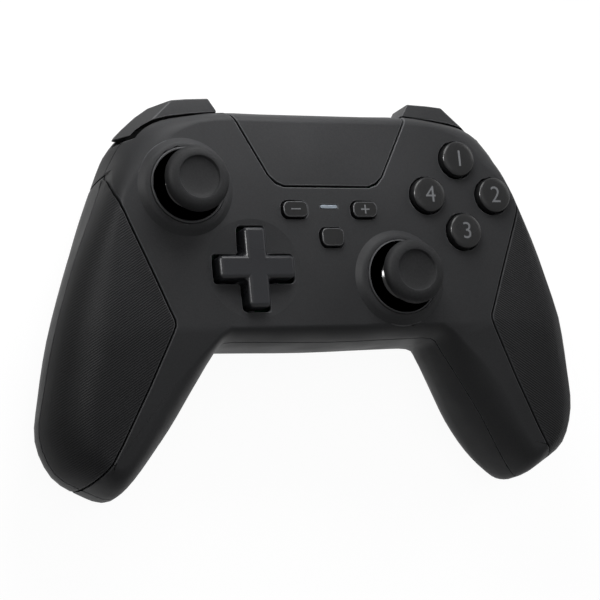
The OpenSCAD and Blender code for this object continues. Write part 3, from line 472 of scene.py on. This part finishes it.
class Bench:
    """Modelling moves that every sub-assembly uses."""

    def __init__(self, frame: dict, groups: Groups) -> None:
        """Keeps the loaded frame and the shared groups.

        Args:
            groups: The shared node groups.
        """
        self.nodes: dict[str, Piece] = frame["nodes"]
        self.groups = groups
        record = frame["record"]
        bodies = record["behaviour"]["bodies"]
        self.body_of = {node: body for body, members in bodies.items() for node in members}
        self.slot_of = {entry["node"]: entry["material_slot"] for entry in record["subparts"]}

    @staticmethod
    def clear() -> None:
        """Deselects everything."""
        bpy.ops.object.select_all(action="DESELECT")

    def take(self, piece: Piece) -> None:
        """Selects one piece alone and makes it active.

        Args:
            piece: The piece to work on.
        """
        self.clear()
        piece.select_set(True)
        bpy.context.view_layer.objects.active = piece

    def modify(self, piece: Piece, kind: str, **settings: object) -> None:
        """Adds a modifier and applies it.

        Args:
            piece: The piece to change.
            kind: Type of the modifier.
            **settings: Values of the modifier.
        """
        self.take(piece)
        modifier = piece.modifiers.new(kind.lower(), kind)
        for label, value in settings.items():
            setattr(modifier, label, value)
        bpy.ops.object.modifier_apply(modifier=modifier.name)

    def smooth(self, piece: Piece, degrees: float) -> None:
        """Shades a piece smooth, with creases kept.

        Args:
            piece: The piece to shade.
            degrees: Turn between faces past which an edge stays a crease.
        """
        self.take(piece)
        bpy.ops.object.shade_smooth_by_angle(angle=math.radians(degrees))

    def settle(self, piece: Piece) -> None:
        """Puts a piece's place into its mesh.

        Args:
            piece: The piece to settle.
        """
        self.take(piece)
        bpy.ops.object.transform_apply(location=True, rotation=True, scale=True)

    def dress(self, piece: Piece, finish: Finish) -> None:
        """Gives a piece a finish, with the paler copy that paints a highlight on its bevelled edges as the
        second.

        Args:
            piece: The piece to dress.
            finish: Its finish.
        """
        piece.data.materials.clear()
        piece.data.materials.append(finish.material(self.groups))
        piece.data.materials.append(finish.edge().material(self.groups))

    def keep(self, node: str, finish: Finish) -> None:
        """Dresses a CAD node that stays in view as it is.

        Args:
            node: Name of the node.
            finish: Its finish.
        """
        target = self.nodes[node]
        for slot in target.material_slots:
            slot.material = finish.material(self.groups)
        LOG.info("kept %s", node)

    def copy(self, node: str, finish: Finish) -> Piece:
        """Makes a merged and dressed copy of a CAD node to work on.

        Args:
            node: Name of the node.
            finish: Finish of the piece.

        Returns:
            The copy.
        """
        piece = bpy.data.objects.new(f"{node}_skin", self.nodes[node].data.copy())
        bpy.context.scene.collection.objects.link(piece)
        self.join_flat(piece)
        self.dress(piece, finish)
        return piece

    def join_flat(self, piece: Piece) -> None:
        """Merges a piece's doubled points and joins its level faces.

        Args:
            piece: The piece.
        """
        self.take(piece)
        bpy.ops.object.mode_set(mode="EDIT")
        bpy.ops.mesh.select_all(action="SELECT")
        bpy.ops.mesh.remove_doubles(threshold=MERGE_GAP * MM)
        bpy.ops.mesh.dissolve_limited(angle_limit=math.radians(LEVEL_TURN))
        bpy.ops.object.mode_set(mode="OBJECT")

    def stand_for(self, piece: Piece, node: str, finish: Finish) -> None:
        """Dresses a finished piece and puts it in a CAD node's place.

        Args:
            piece: The piece.
            node: Name of the node it stands for.
            finish: Its finish.
        """
        if not piece.data.materials:
            self.dress(piece, finish)
        self.fix(piece, self.body_of[node], self.slot_of[node])
        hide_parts(node)

    @staticmethod
    def _edges(mesh: Mesh) -> Iterator[tuple[bpy.types.MeshEdge, Ends, list[Polygon]]]:
        """Goes through the edges of a mesh.

        Args:
            mesh: The mesh.

        Yields:
            An edge, its ends and the faces beside it.
        """
        beside: dict[tuple[int, int], list[Polygon]] = {}
        for face in mesh.polygons:
            for key in face.edge_keys:
                beside.setdefault(key, []).append(face)
        for edge in mesh.edges:
            yield edge, tuple(mesh.vertices[k].co for k in edge.vertices), beside[edge.key]

    def _weigh_edges(self, piece: Piece, crease: float) -> None:
        """Picks a piece's outward edges for a bevel.

        Args:
            piece: The piece.
            crease: Turn in degrees past which an edge counts as one.
        """
        weights = piece.data.attributes.new("bevel_weight_edge", "FLOAT", "EDGE")
        for (_, _, sides), entry in zip(self._edges(piece.data), weights.data):
            first, second = sides[0], sides[-1]
            outward = (second.center - first.center).dot(first.normal) < 0.0
            if outward and first.normal.angle(second.normal, 0.0) > math.radians(crease):
                entry.value = 1.0

    def bevel(self, piece: Piece, wanted: EdgeTest, width: float, steps: int,
              slot: int = 0) -> None:
        """Bevels the edges that a test picks.

        Args:
            piece: The piece to bevel.
            wanted: Test on an edge's ends and on the directions of its faces.
            width: Width of the bevel in millimetres.
            steps: Steps of the bevel.
            slot: Number of the material on the bevel.
        """
        self.take(piece)
        for part in (*piece.data.vertices, *piece.data.polygons):
            part.select = False
        for edge, ends, sides in self._edges(piece.data):
            edge.select = wanted(ends, [face.normal for face in sides])
        bpy.ops.object.mode_set(mode="EDIT")
        bpy.ops.mesh.select_mode(type="EDGE")
        bpy.ops.mesh.bevel(offset=width * MM, segments=steps, affect="EDGES", clamp_overlap=False,
                           material=slot)
        bpy.ops.object.mode_set(mode="OBJECT")

    def cut(self, piece: Piece, prisms: Iterable[tuple[Sequence[Vector], float]]) -> None:
        """Cuts upright prisms out of a piece.

        Args:
            piece: The piece to cut.
            prisms: Lower outline of each prism, counterclockwise from over it, and its height.
        """
        points: list[Vector] = []
        faces: list[tuple[int, ...]] = []
        for outline, height in prisms:
            base, count = len(points), len(outline)
            points += [*outline, *(point + Vector((0.0, 0.0, height)) for point in outline)]
            faces.append(tuple(base + k for k in reversed(range(count))))
            faces.append(tuple(base + count + k for k in range(count)))
            for k in range(count):
                after = (k + 1) % count
                faces.append((base + k, base + after, base + count + after, base + count + k))
        mesh = bpy.data.meshes.new("cutter")
        mesh.from_pydata(points, [], faces)
        cutter = bpy.data.objects.new("cutter", mesh)
        bpy.context.scene.collection.objects.link(cutter)
        self.modify(piece, "BOOLEAN", operation="DIFFERENCE", solver="EXACT", use_self=True,
                    object=cutter)
        bpy.data.objects.remove(cutter)

    def finish(self, piece: Piece, edge: float, crease: float,
               kept: EdgeTest | None = None) -> None:
        """Softens a piece's outward edges, paints a highlight on them with the paler material, and shades
        it.

        Args:
            piece: The piece.
            edge: Width of the softened edges in millimetres; 0 leaves them sharp.
            crease: Turn in degrees past which an edge counts as one.
            kept: Test for flatter edges that stay creases.
        """
        if edge > 0.0:
            self._weigh_edges(piece, crease)
            # The bevel takes the second, paler material: a painted highlight along the softened edges.
            self.modify(piece, "BEVEL", width=edge * MM, segments=2, limit_method="WEIGHT",
                        use_clamp_overlap=False, material=1)
        self.smooth(piece, max(crease, LEAST_CREASE))
        if kept is not None:
            for line, ends, sides in self._edges(piece.data):
                if kept(ends, [face.normal for face in sides]):
                    line.use_edge_sharp = True
        self.level_shade(piece)

    def level_shade(self, piece: Piece) -> None:
        """Lets a piece's large faces rule its shading.

        Args:
            piece: The piece.
        """
        self.modify(piece, "WEIGHTED_NORMAL", keep_sharp=True, weight=FACE_WEIGHT)

    def skin(self, node: str, finish: Finish, edge: float, crease: float = 32.0) -> Piece:
        """Makes a piece that follows a CAD node, with softened edges.

        Args:
            node: Name of the node.
            finish: Finish of the piece.
            edge: Width of the softened edges in millimetres; 0 leaves them sharp.
            crease: Turn in degrees past which an edge counts as one.

        Returns:
            The piece, which stands for the node.
        """
        piece = self.copy(node, finish)
        self.finish(piece, edge, crease)
        self.stand_for(piece, node, finish)
        return piece

    def lathe(self, name: str, x: float, y: float, profile: Rings, columns: int) -> Piece:
        """Turns an outline round an upright axis, ring by ring.

        Args:
            name: Name of the piece.
            x: Place of the axis across the face, in millimetres.
            y: Place of the axis up the face.
            profile: Radius and height of each ring, from the underside round to the top's middle.
            columns: Points on each ring.

        Returns:
            The closed piece.
        """
        self.clear()
        start = profile[0]
        bpy.ops.mesh.primitive_circle_add(vertices=columns, radius=start[0] * MM,
                                          location=on_face(x, y, start[1]), fill_type="NGON")
        piece = bpy.context.object
        piece.name = name
        self.settle(piece)
        bpy.ops.object.mode_set(mode="EDIT")
        bpy.ops.mesh.select_all(action="SELECT")
        bpy.ops.mesh.region_to_loop()
        for here, there in zip(profile, profile[1:]):
            rise = (0.0, 0.0, (there[1] - here[1]) * MM)
            bpy.ops.mesh.extrude_edges_move(TRANSFORM_OT_translate={"value": rise})
            share = there[0] / here[0]
            bpy.ops.transform.resize(value=(share, share, 1.0),
                                     center_override=on_face(x, y, there[1]))
        bpy.ops.mesh.edge_face_add()
        bpy.ops.mesh.select_all(action="SELECT")
        bpy.ops.mesh.normals_make_consistent(inside=False)
        bpy.ops.object.mode_set(mode="OBJECT")
        return piece

    def fix(self, piece: Piece, body: str, slot: str) -> None:
        """Makes a finished piece ride on its body.

        Args:
            piece: The piece.
            body: Name of the CAD body.
            slot: Material slot of the record; not used.
        """
        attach(piece, body)
        LOG.info("made %s on %s", piece.name, body)


@dataclass
class Housing:
    """Shells, grip panels, grip backs and touch plate.

    Attributes:
        edge: Width of the softened edges of the shells, in millimetres.
        panel_edge: The same for the grip panels.
        plate_edge: The same for the touch plate.
        crease: Turn in degrees past which a softened edge of the face counts as one.
        smooth_below: Upward share of the surface's direction below which a panel has no ribs.
        ribbed_over: Upward share over which the ribs have their whole depth.
        pad: Centre of the direction pad on the face.
        pad_reach: Reach of its opening from there.
        pad_deep: Height over the face down to which the opening's corners are rounded.
        pad_corner: Rounding of the opening's corners.
        circles: Centre and radius of the collars' feet and of the dish's rim.
        foot_turn: Turn in degrees from which an edge on such a circle stays a crease.
        foot_near: How far off the circle such an edge may lie.
    """

    edge: float = 0.3
    panel_edge: float = 0.35
    plate_edge: float = 0.3
    crease: float = 42.0
    smooth_below: float = 0.2
    ribbed_over: float = 0.5
    pad: tuple[float, float] = (-23.4, -6.1)
    pad_reach: float = 12.5
    pad_deep: float = -3.0
    pad_corner: float = 1.2
    circles: tuple[tuple[float, float, float], ...] = (
        (-40.6, 15.8, 13.2), (19.0, -9.0, 13.2), (-23.4, -6.1, 13.4),
    )
    foot_turn: float = 4.0
    foot_near: float = 0.35

    def _pad_corner(self, ends: Ends, sides: list[Vector]) -> bool:
        """Tells whether an edge is an upright corner of the direction pad's opening.

        Args:
            ends: Both ends of the edge.
            sides: Directions of the faces beside it.

        Returns:
            True for such a corner.
        """
        middle = (ends[0] + ends[1]) / 2.0 - on_face(*self.pad, 0.0)
        near = math.hypot(middle.x, middle.y) < self.pad_reach * MM and middle.z > self.pad_deep * MM
        return near and is_corner(ends, sides)

    def _foot(self, ends: Ends, sides: list[Vector]) -> bool:
        """Tells whether an edge runs round a collar's foot or the dish's rim.

        Args:
            ends: Both ends of the edge.
            sides: Directions of the faces beside it.

        Returns:
            True for such an edge.
        """
        if sides[0].angle(sides[-1], 0.0) < math.radians(self.foot_turn):
            return False
        for x, y, radius in self.circles:
            centre = on_face(x, y, 0.0)
            reaches = [math.hypot(end.x - centre.x, end.y - centre.y) / MM for end in ends]
            near = all(abs(reach - radius) < self.foot_near for reach in reaches)
            if near and abs(reaches[0] - reaches[1]) < 0.2:
                return True
        return False

    def _mask_ribs(self, panel: Piece) -> None:
        """Fades a panel's ribs out towards its outer seam.

        Args:
            panel: The grip panel.
        """
        mask = panel.data.attributes.new(RIB_MASK, "FLOAT", "POINT")
        for vertex, entry in zip(panel.data.vertices, mask.data):
            share = (vertex.normal.z - self.smooth_below) / (self.ribbed_over - self.smooth_below)
            entry.value = min(max(share, 0.0), 1.0)

    def build(self, bench: Bench) -> None:
        """Makes and dresses the housing's pieces.

        Args:
            bench: The shared modelling moves.
        """
        front = bench.copy("front_shell", SHELL)
        bench.bevel(front, self._pad_corner, self.pad_corner, 4)
        bench.finish(front, self.edge, self.crease, self._foot)
        bench.stand_for(front, "front_shell", SHELL)
        bench.skin("rear_shell", SHELL, self.edge)
        for side, ribs in (("left", RIBS_LEFT), ("right", RIBS_RIGHT)):
            panel = bench.skin(f"{side}_grip_panel", ribs, self.panel_edge, self.crease)
            self._mask_ribs(panel)
            bench.skin(f"{side}_grip_back", STRIP, self.edge)
        bench.skin("touch_plate", SHELL, self.plate_edge)


@dataclass
class Stick:
    """One thumb stick: rim ring, glossy dome and knurled cap.

    Attributes:
        side: Which stick it is.
        x: Place across, in millimetres from the middle of the face.
        y: Place up the face, in millimetres.
        cap_radius: Radius of the cap in millimetres.
        cap_low: Height of the cap's underside over the face.
        cap_top: Height of the cap's rim over the face.
        columns: Points round the cap.
        knurl: Height of the knurl's points in millimetres.
        rows: Rings of knurl points up the side.
        near: How far off its ring a point may lie to belong to it.
        ring_edge: Width of the rim ring's softened edges.
        profile: Radius and height of the cap's rings.
    """

    side: str
    x: float
    y: float
    cap_radius: float = 8.5
    cap_low: float = 7.0
    cap_top: float = 10.9
    columns: int = 180
    knurl: float = 0.2
    rows: int = 10
    near: float = 0.04
    ring_edge: float = 0.2
    profile: Rings = field(init=False)

    def __post_init__(self) -> None:
        """Works out the cap's outline, from its underside over the rim to the hollow's middle."""
        r, low, top = self.cap_radius, self.cap_low, self.cap_top
        knurled = (
            (r - 0.05, low + 0.95), (r, low + 1.25), (r, low + 1.55), (r - 0.03, low + 1.85),
            (r - 0.08, low + 2.15), (r - 0.17, low + 2.45), (r - 0.32, low + 2.76),
            (r - 0.54, low + 3.06), (r - 0.84, low + 3.34), (r - 1.22, low + 3.58),
        )
        self.profile = (
            (3.3, low), (r - 1.2, low), (r - 0.6, low + 0.2), (r - 0.2, low + 0.6),
            *knurled,
            (r - 1.7, top - 0.14), (r - 2.1, top - 0.03), (r - 2.5, top), (r - 2.8, top - 0.03),
            (5.55, top - 0.16), (5.42, top - 0.42), (5.28, top - 0.66), (4.9, top - 0.84),
            (4.1, top - 1.02), (2.9, top - 1.17), (1.4, top - 1.26),
        )

    def _press_knurl(self, bench: Bench, cap: Piece) -> None:
        """Raises every second point of the knurled rows.

        Args:
            bench: The shared modelling moves.
            cap: The plain cap.
        """
        bench.take(cap)
        axis = on_face(self.x, self.y, 0.0)
        rows = self.profile[4:4 + self.rows]
        for vertex in cap.data.vertices:
            away = vertex.co - axis
            reach = math.hypot(away.x, away.y) / MM
            turn = round(math.atan2(away.y, away.x) / math.tau * self.columns)
            found = [k for k, (r, z) in enumerate(rows)
                     if abs(z - away.z / MM) < self.near and abs(r - reach) < self.near]
            vertex.select = bool(found) and (turn + found[0]) % 2 == 0
        for part in (*cap.data.edges, *cap.data.polygons):
            part.select = False
        bpy.ops.object.mode_set(mode="EDIT")
        bpy.ops.mesh.select_mode(type="VERT")
        share = 1.0 + self.knurl / self.cap_radius
        bpy.ops.transform.resize(value=(share, share, 1.0), center_override=axis)
        bpy.ops.object.mode_set(mode="OBJECT")

    def build(self, bench: Bench) -> None:
        """Makes and dresses the stick's pieces.

        Args:
            bench: The shared modelling moves.
        """
        cap = bench.lathe(f"{self.side}_stick_cap_knurled", self.x, self.y, self.profile, self.columns)
        self._press_knurl(bench, cap)
        bench.smooth(cap, 20.0)
        bench.stand_for(cap, f"{self.side}_stick_cap", CAP_RUBBER)
        bench.skin(f"{self.side}_stick_dome", DOME_GLOSS, 0.0)
        bench.skin(f"{self.side}_stick_ring", SHELL, self.ring_edge, 40.0)
        for node in ("rocker", "yoke"):
            bench.keep(f"{self.side}_stick_{node}", FRAME_BLACK)
        bench.keep(f"{self.side}_stick_module", STEEL)


@dataclass
class FaceControls:
    """Direction pad, face buttons, small buttons and light bar.

    Attributes:
        cluster: Centre of the face buttons on the face, in millimetres.
        reach: Distance of each face button from that centre.
        button_top: Height of the face buttons over the face.
        mark_x: Distance of the minus and plus buttons from the middle.
        mark_y: Their place up the face.
        small_top: Height of the small buttons over the face.
        digit_size: Height setting of the digits.
        sign_size: Height setting of the signs.
        pad_corner: Rounding of the direction pad's corners in millimetres.
        pad_rim: Softening of the rim of its top.
        pad_over: Height over which a point belongs to its top, which is levelled.
        pad_top: Height of the level top.
        lens_corner: Rounding of the light bar's ends.
        lens_edge: Softening of its edges.
        small_edge: Softening of the small buttons' edges.
        crease: Turn in degrees past which an edge of these counts as one.
        mark_rise: Half the thickness of a printed mark.
        mark_thin: How far a mark's outline is drawn in.
        columns: Points round a face button.
        button_profile: Radius and height of a face button's rings.
    """

    cluster: tuple[float, float] = (40.2, 14.0)
    reach: float = 10.2
    button_top: float = 2.2
    mark_x: float = 10.25
    mark_y: float = 9.8
    small_top: float = 1.1
    digit_size: float = 6.6
    sign_size: float = 5.4
    pad_corner: float = 1.2
    pad_rim: float = 0.45
    pad_over: float = 1.5
    pad_top: float = 2.9
    lens_corner: float = 0.4
    lens_edge: float = 0.1
    small_edge: float = 0.3
    crease: float = 40.0
    mark_rise: float = 0.04
    mark_thin: float = 0.035
    columns: int = 96
    button_profile: Rings = (
        (1.0, -8.8), (3.2, -8.8), (3.2, -3.9), (5.6, -3.9), (5.6, -3.0), (5.3, -2.7), (4.95, -2.7),
        (4.95, 1.2), (4.9, 1.52), (4.76, 1.8), (4.5, 2.0), (4.1, 2.11), (3.4, 2.19), (2.4, 2.26),
        (1.2, 2.3),
    )

    def _pad(self, bench: Bench) -> None:
        """Rounds the direction pad's corners and softens the rim of its top, which takes a painted
        highlight.

        Args:
            bench: The shared modelling moves.
        """
        pad = bench.copy("dpad", PAD_SATIN)
        for vertex in pad.data.vertices:
            if vertex.co.z > FACE.z + self.pad_over * MM:
                vertex.co.z = FACE.z + self.pad_top * MM
        bench.join_flat(pad)
        bench.bevel(pad, self._upright, self.pad_corner, 4)
        # The rim's bevel takes the paler material, a painted highlight round the pad's top.
        bench.bevel(pad, self._rim, self.pad_rim, 3, 1)
        bench.smooth(pad, 34.0)
        bench.level_shade(pad)
        bench.stand_for(pad, "dpad", PAD_SATIN)

    @staticmethod
    def _upright(ends: Ends, sides: list[Vector]) -> bool:
        """Tells whether an edge is one of the pad's upright corners.

        Args:
            ends: Both ends of the edge.
            sides: Directions of the faces beside it.

        Returns:
            True for an upright corner over the face.
        """
        return max(end.z for end in ends) > FACE.z and is_corner(ends, sides)

    def _rim(self, ends: Ends, sides: list[Vector]) -> bool:
        """Tells whether an edge lies round the pad's top.

        Args:
            ends: Both ends of the edge.
            sides: Directions of the faces beside it.

        Returns:
            True for an edge between the top and a side.
        """
        high = min(end.z for end in ends) > FACE.z + self.pad_over * MM
        slopes = [abs(side.z) for side in sides]
        return high and max(side.z for side in sides) > 0.9 and min(slopes) < 0.2

    def _mark(self, bench: Bench, name: str, words: str, size: float, place: Vector,
              body: str) -> None:
        """Lays one printed mark on a button.

        Args:
            bench: The shared modelling moves.
            name: Name of the piece.
            words: The digit or sign.
            size: Height setting in millimetres.
            place: Middle of the mark.
            body: Body of its button.
        """
        bench.clear()
        bpy.ops.object.text_add(location=(0.0, 0.0, 0.0))
        letters = bpy.context.object
        letters.name = name
        letters.data.body = words
        letters.data.size = size * MM
        letters.data.extrude = self.mark_rise * MM
        letters.data.offset = -self.mark_thin * MM
        bpy.ops.object.convert(target="MESH")
        low = Vector(letters.bound_box[0])
        high = Vector(letters.bound_box[6])
        letters.location = place - (low + high) / 2.0
        bench.settle(letters)
        bench.dress(letters, PRINT)
        bench.fix(letters, body, "lens")

    def build(self, bench: Bench) -> None:
        """Makes and dresses the controls of the face.

        Args:
            bench: The shared modelling moves.
        """
        self._pad(bench)
        turns = {"north": (0, 1), "east": (1, 0), "south": (0, -1), "west": (-1, 0)}
        for digit, (name, (x, y)) in enumerate(turns.items(), start=1):
            node = f"button_{name}"
            centre = (self.cluster[0] + x * self.reach, self.cluster[1] + y * self.reach)
            button = bench.lathe(f"{node}_turned", *centre, self.button_profile, self.columns)
            bench.smooth(button, self.crease)
            bench.stand_for(button, node, BUTTON_BLACK)
            place = on_face(*centre, self.button_top + 0.08)
            self._mark(bench, f"{node}_digit", str(digit), self.digit_size, place, node)
        for name, sign, side in (("minus", "\u2013", -1), ("plus", "+", 1)):
            node = f"{name}_button"
            bench.skin(node, BUTTON_BLACK, self.small_edge, self.crease)
            place = on_face(side * self.mark_x, self.mark_y, self.small_top + 0.02)
            self._mark(bench, f"{node}_sign", sign, self.sign_size, place, node)
        bench.skin("home_button", BUTTON_BLACK, self.small_edge, self.crease)
        lens = bench.copy("indicator_lens", LENS)
        bench.bevel(lens, self._upright, self.lens_corner, 4)
        bench.finish(lens, self.lens_edge, self.crease)
        bench.stand_for(lens, "indicator_lens", LENS)
        for node in ("button_membrane", "dpad_membrane"):
            bench.keep(node, SILICONE)
        bench.keep("dpad_post", FRAME_BLACK)
        bench.keep("dpad_pivot", STEEL)


@dataclass
class Shoulders:
    """Bumpers and triggers.

    Attributes:
        edge: Width of the bumpers' softened edges in millimetres.
        trigger_edge: The same for the triggers.
        rim: Line of the front shell's edge over the right bumper, from the middle outwards.
        gap: Width of the dark gap beside that line at its inner and its outer end.
        gap_low: Height of the gap's floor over the face.
        gap_high: Height up to which it is cut.
        gap_back: Place up the face, hidden by the shell, from which it is cut.
        crease: Turn in degrees past which an edge of a bumper counts as one.
    """

    edge: float = 0.3
    trigger_edge: float = 0.6
    rim: Rings = (
        (26.0, 37.7), (36.0, 36.7), (41.9, 35.8), (44.5, 35.1), (46.6, 34.4), (48.2, 33.6),
        (49.7, 32.6), (51.0, 31.4), (52.1, 30.2),
    )
    gap: tuple[float, float] = (0.45, 0.8)
    gap_low: float = -12.5
    gap_high: float = -4.8
    gap_back: float = 26.0
    crease: float = 12.0

    def _groove(self, side: int) -> tuple[list[Vector], float]:
        """Lays out the gap between a bumper and the shell's edge.

        Args:
            side: -1 for the left bumper, 1 for the right one.

        Returns:
            The gap's outline at its floor and its height.
        """
        ends = (self.rim[0][0], self.rim[-1][0])
        outer = []
        earlier, later = (self.rim[0], *self.rim), (*self.rim[1:], self.rim[-1])
        for (x, y), before, after in zip(self.rim, earlier, later):
            away = Vector((before[1] - after[1], after[0] - before[0])).normalized()
            share = (x - ends[0]) / (ends[1] - ends[0])
            reach = self.gap[0] + (self.gap[1] - self.gap[0]) * share
            outer.append((x + away.x * reach, y + away.y * reach))
        loop = [(ends[0], self.gap_back), (outer[-1][0], self.gap_back), *reversed(outer)]
        points = [on_face(side * x, y, self.gap_low) for x, y in loop]
        return (points if side > 0 else points[::-1]), (self.gap_high - self.gap_low) * MM

    def build(self, bench: Bench) -> None:
        """Makes and dresses the shoulder controls.

        Args:
            bench: The shared modelling moves.
        """
        for side, sign in (("left", -1), ("right", 1)):
            bumper = bench.copy(f"{side}_bumper", SHOULDER)
            bench.cut(bumper, [self._groove(sign)])
            bench.finish(bumper, self.edge, self.crease)
            bench.stand_for(bumper, f"{side}_bumper", SHOULDER)
            bench.skin(f"{side}_trigger", SHOULDER, self.trigger_edge, 30.0)
            bench.keep(f"{side}_trigger_pin", STEEL)
            bench.keep(f"{side}_trigger_spring", STEEL)
        bench.keep("bumper_pins", STEEL)


@dataclass
class Insides:
    """Frame, board, screws and what they carry, seen only through gaps and at the back.

    Attributes:
        finishes: Finish of each inner node.
        screws: Places of the right half's housing screws in the row frame, in millimetres.
        screw_face: Height of their heads' outer face there.
        slot: Length, width and depth of a head's crossed slots.
        slot_over: How far the cut for a slot stands out of the head.
    """

    finishes: dict[str, Finish] = field(default_factory=lambda: {
        "mid_frame": FRAME_BLACK, "main_board": LACQUER, "battery": FILM, "tact_switches": STEEL,
        "board_screws": STEEL, "usb_port": STEEL, "left_rumble_motor": STEEL,
        "right_rumble_motor": STEEL, "left_rumble_weight": BRASS, "right_rumble_weight": BRASS,
    })
    screws: tuple[tuple[float, float], ...] = ((61.2, -32.1), (49.4, 6.4), (20.0, 21.4))
    screw_face: float = 3.4
    slot: tuple[float, float, float] = (2.8, 0.55, 1.1)
    slot_over: float = 0.5

    def _crosses(self) -> list[tuple[list[Vector], float]]:
        """Lays out the crossed slots of all the housing screws.

        Returns:
            Outline and height of each slot's prism.
        """
        length, width, depth = self.slot
        low, height = self.screw_face - self.slot_over, (depth + self.slot_over) * MM
        prisms = []
        for x, y in (place for a, b in self.screws for place in ((a, b), (-a, b))):
            for half_x, half_y in ((length / 2.0, width / 2.0), (width / 2.0, length / 2.0)):
                loop = ((-half_x, -half_y), (half_x, -half_y), (half_x, half_y), (-half_x, half_y))
                prisms.append(([Vector((x + a, y + b, low)) * MM for a, b in loop], height))
        return prisms

    def build(self, bench: Bench) -> None:
        """Dresses the inner nodes.

        Args:
            bench: The shared modelling moves.
        """
        for node, finish in self.finishes.items():
            bench.keep(node, finish)
        heads = bench.copy("housing_screws", STEEL)
        bench.cut(heads, self._crosses())
        bench.smooth(heads, 30.0)
        bench.stand_for(heads, "housing_screws", STEEL)


@dataclass(frozen=True)
class Lamp:
    """One soft square lamp.

    Attributes:
        name: Name of the lamp.
        place: Where it hangs, in metres.
        size: Side of the lamp in metres.
        power: Power in watts.
        spread: Whether it lights matt surfaces too, and not only shiny ones.
    """

    name: str
    place: tuple[float, float, float]
    size: float
    power: float
    spread: bool = True

    def hang(self, aim: Vector) -> None:
        """Hangs the lamp.

        Args:
            aim: Point that it faces.
        """
        data = bpy.data.lights.new(self.name, "AREA")
        data.shape = "SQUARE"
        data.size = self.size
        data.energy = self.power
        lamp = bpy.data.objects.new(self.name, data)
        lamp.visible_diffuse = self.spread
        bpy.context.scene.collection.objects.link(lamp)
        place = Vector(self.place)
        turn = (aim - place).to_track_quat("-Z", "Y").to_matrix().to_4x4()
        lamp.matrix_world = Matrix.Translation(place) @ turn


@dataclass
class Studio:
    """Floor, lamps, background and camera.

    Attributes:
        camera_at: Place of the camera in metres.
        right: Direction to the right of the picture.
        up: Direction up the picture.
        lens: Focal length in millimetres on a 36 mm sensor.
        floor_size: Side of the floor in metres.
        floor_tone: How much light the floor gives back.
        floor_glow: Brightness of the floor to the camera and in reflections.
        ambient: Level of the background's light on matt surfaces.
        aim: Point that the lamps face.
        lamps: The lamps.
    """

    camera_at: Vector = field(default_factory=lambda: on_face(-224.4, -105.5, 465.5))
    right: Vector = field(default_factory=lambda: Vector((0.91189, -0.09294, 0.39976)))
    up: Vector = field(default_factory=lambda: Vector((0.01336, 0.98022, 0.19741)))
    lens: float = 118.39
    floor_size: float = 8.0
    floor_tone: float = 0.1
    floor_glow: float = 0.95
    ambient: float = 0.15
    aim: Vector = field(default_factory=lambda: Vector((0.0, 0.0, 0.02)))
    lamps: tuple[Lamp, ...] = (
        Lamp("key", (-0.015, 0.125, 0.1), 0.1, 0.26),
        Lamp("top", (-0.1, 0.15, 1.2), 0.8, 2.0),
        Lamp("side", (0.9, 0.5, 0.5), 0.5, 2.0),
        Lamp("strip", (-0.376, 0.165, 0.25), 0.14, 3.0, spread=False),
    )

    def _camera(self) -> None:
        """Sets the camera at the photograph's viewing angle."""
        data = bpy.data.cameras.new("camera")
        data.lens = self.lens
        data.sensor_width = 36.0
        data.clip_start = 0.01
        camera = bpy.data.objects.new("camera", data)
        bpy.context.scene.collection.objects.link(camera)
        back = self.right.cross(self.up).normalized()
        turn = Matrix((self.right, self.up, back)).transposed()
        camera.matrix_world = Matrix.Translation(self.camera_at) @ turn.to_4x4()
        bpy.context.scene.camera = camera

    def _floor(self) -> None:
        """Lays the plain pale floor, bright to the camera and still taking the shadow."""
        bpy.ops.object.select_all(action="DESELECT")
        bpy.ops.mesh.primitive_plane_add(size=self.floor_size, location=(0.0, 0.0, -0.0002))
        floor = bpy.context.object
        floor.name = "floor"
        paint = bpy.data.materials.new("floor_paint")
        paint.use_nodes = True
        tree = paint.node_tree
        seen = seen_by(tree, ("Is Camera Ray", "Is Glossy Ray"))
        fill(tree, tree.nodes["Principled BSDF"], {
            "Base Color": (*(self.floor_tone,) * 3, 1.0), "Roughness": 0.9, "Specular IOR Level": 0.0,
            "Emission Color": (1.0, 1.0, 1.0, 1.0),
            "Emission Strength": maths(tree, "MULTIPLY", seen, self.floor_glow),
        })
        floor.data.materials.append(paint)

    def _world(self) -> None:
        """Fills the background: white to the camera, soft grey light on the object."""
        world = bpy.data.worlds.new("studio")
        bpy.context.scene.world = world
        world.use_nodes = True
        tree = world.node_tree
        seen = seen_by(tree, ("Is Camera Ray", "Is Glossy Ray", "Is Transmission Ray"))
        level = add(tree, "MapRange", {"Value": seen, "To Min": self.ambient, "To Max": 1.0})
        fill(tree, tree.nodes["Background"],
             {"Color": (1.0, 1.0, 1.0, 1.0), "Strength": level.outputs["Result"]})

    def build(self) -> None:
        """Sets the camera, floor, lamps and background."""
        self._camera()
        self._floor()
        for lamp in self.lamps:
            lamp.hang(self.aim)
        self._world()
        bpy.context.scene.view_settings.view_transform = "Standard"


def main() -> None:
    """Builds the looks round the frame, sub-assembly by sub-assembly."""
    logging.basicConfig(level=logging.INFO, format="%(name)s: %(message)s")
    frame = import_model()
    bench = Bench(frame, Groups())
    bench.clear()
    assemblies = (
        Housing(),
        Stick("left", -40.6, 15.8),
        Stick("right", 19.0, -9.0),
        FaceControls(),
        Shoulders(),
        Insides(),
    )
    for assembly in assemblies:
        assembly.build(bench)
    Studio().build()


if __name__ == "__main__":
    main()
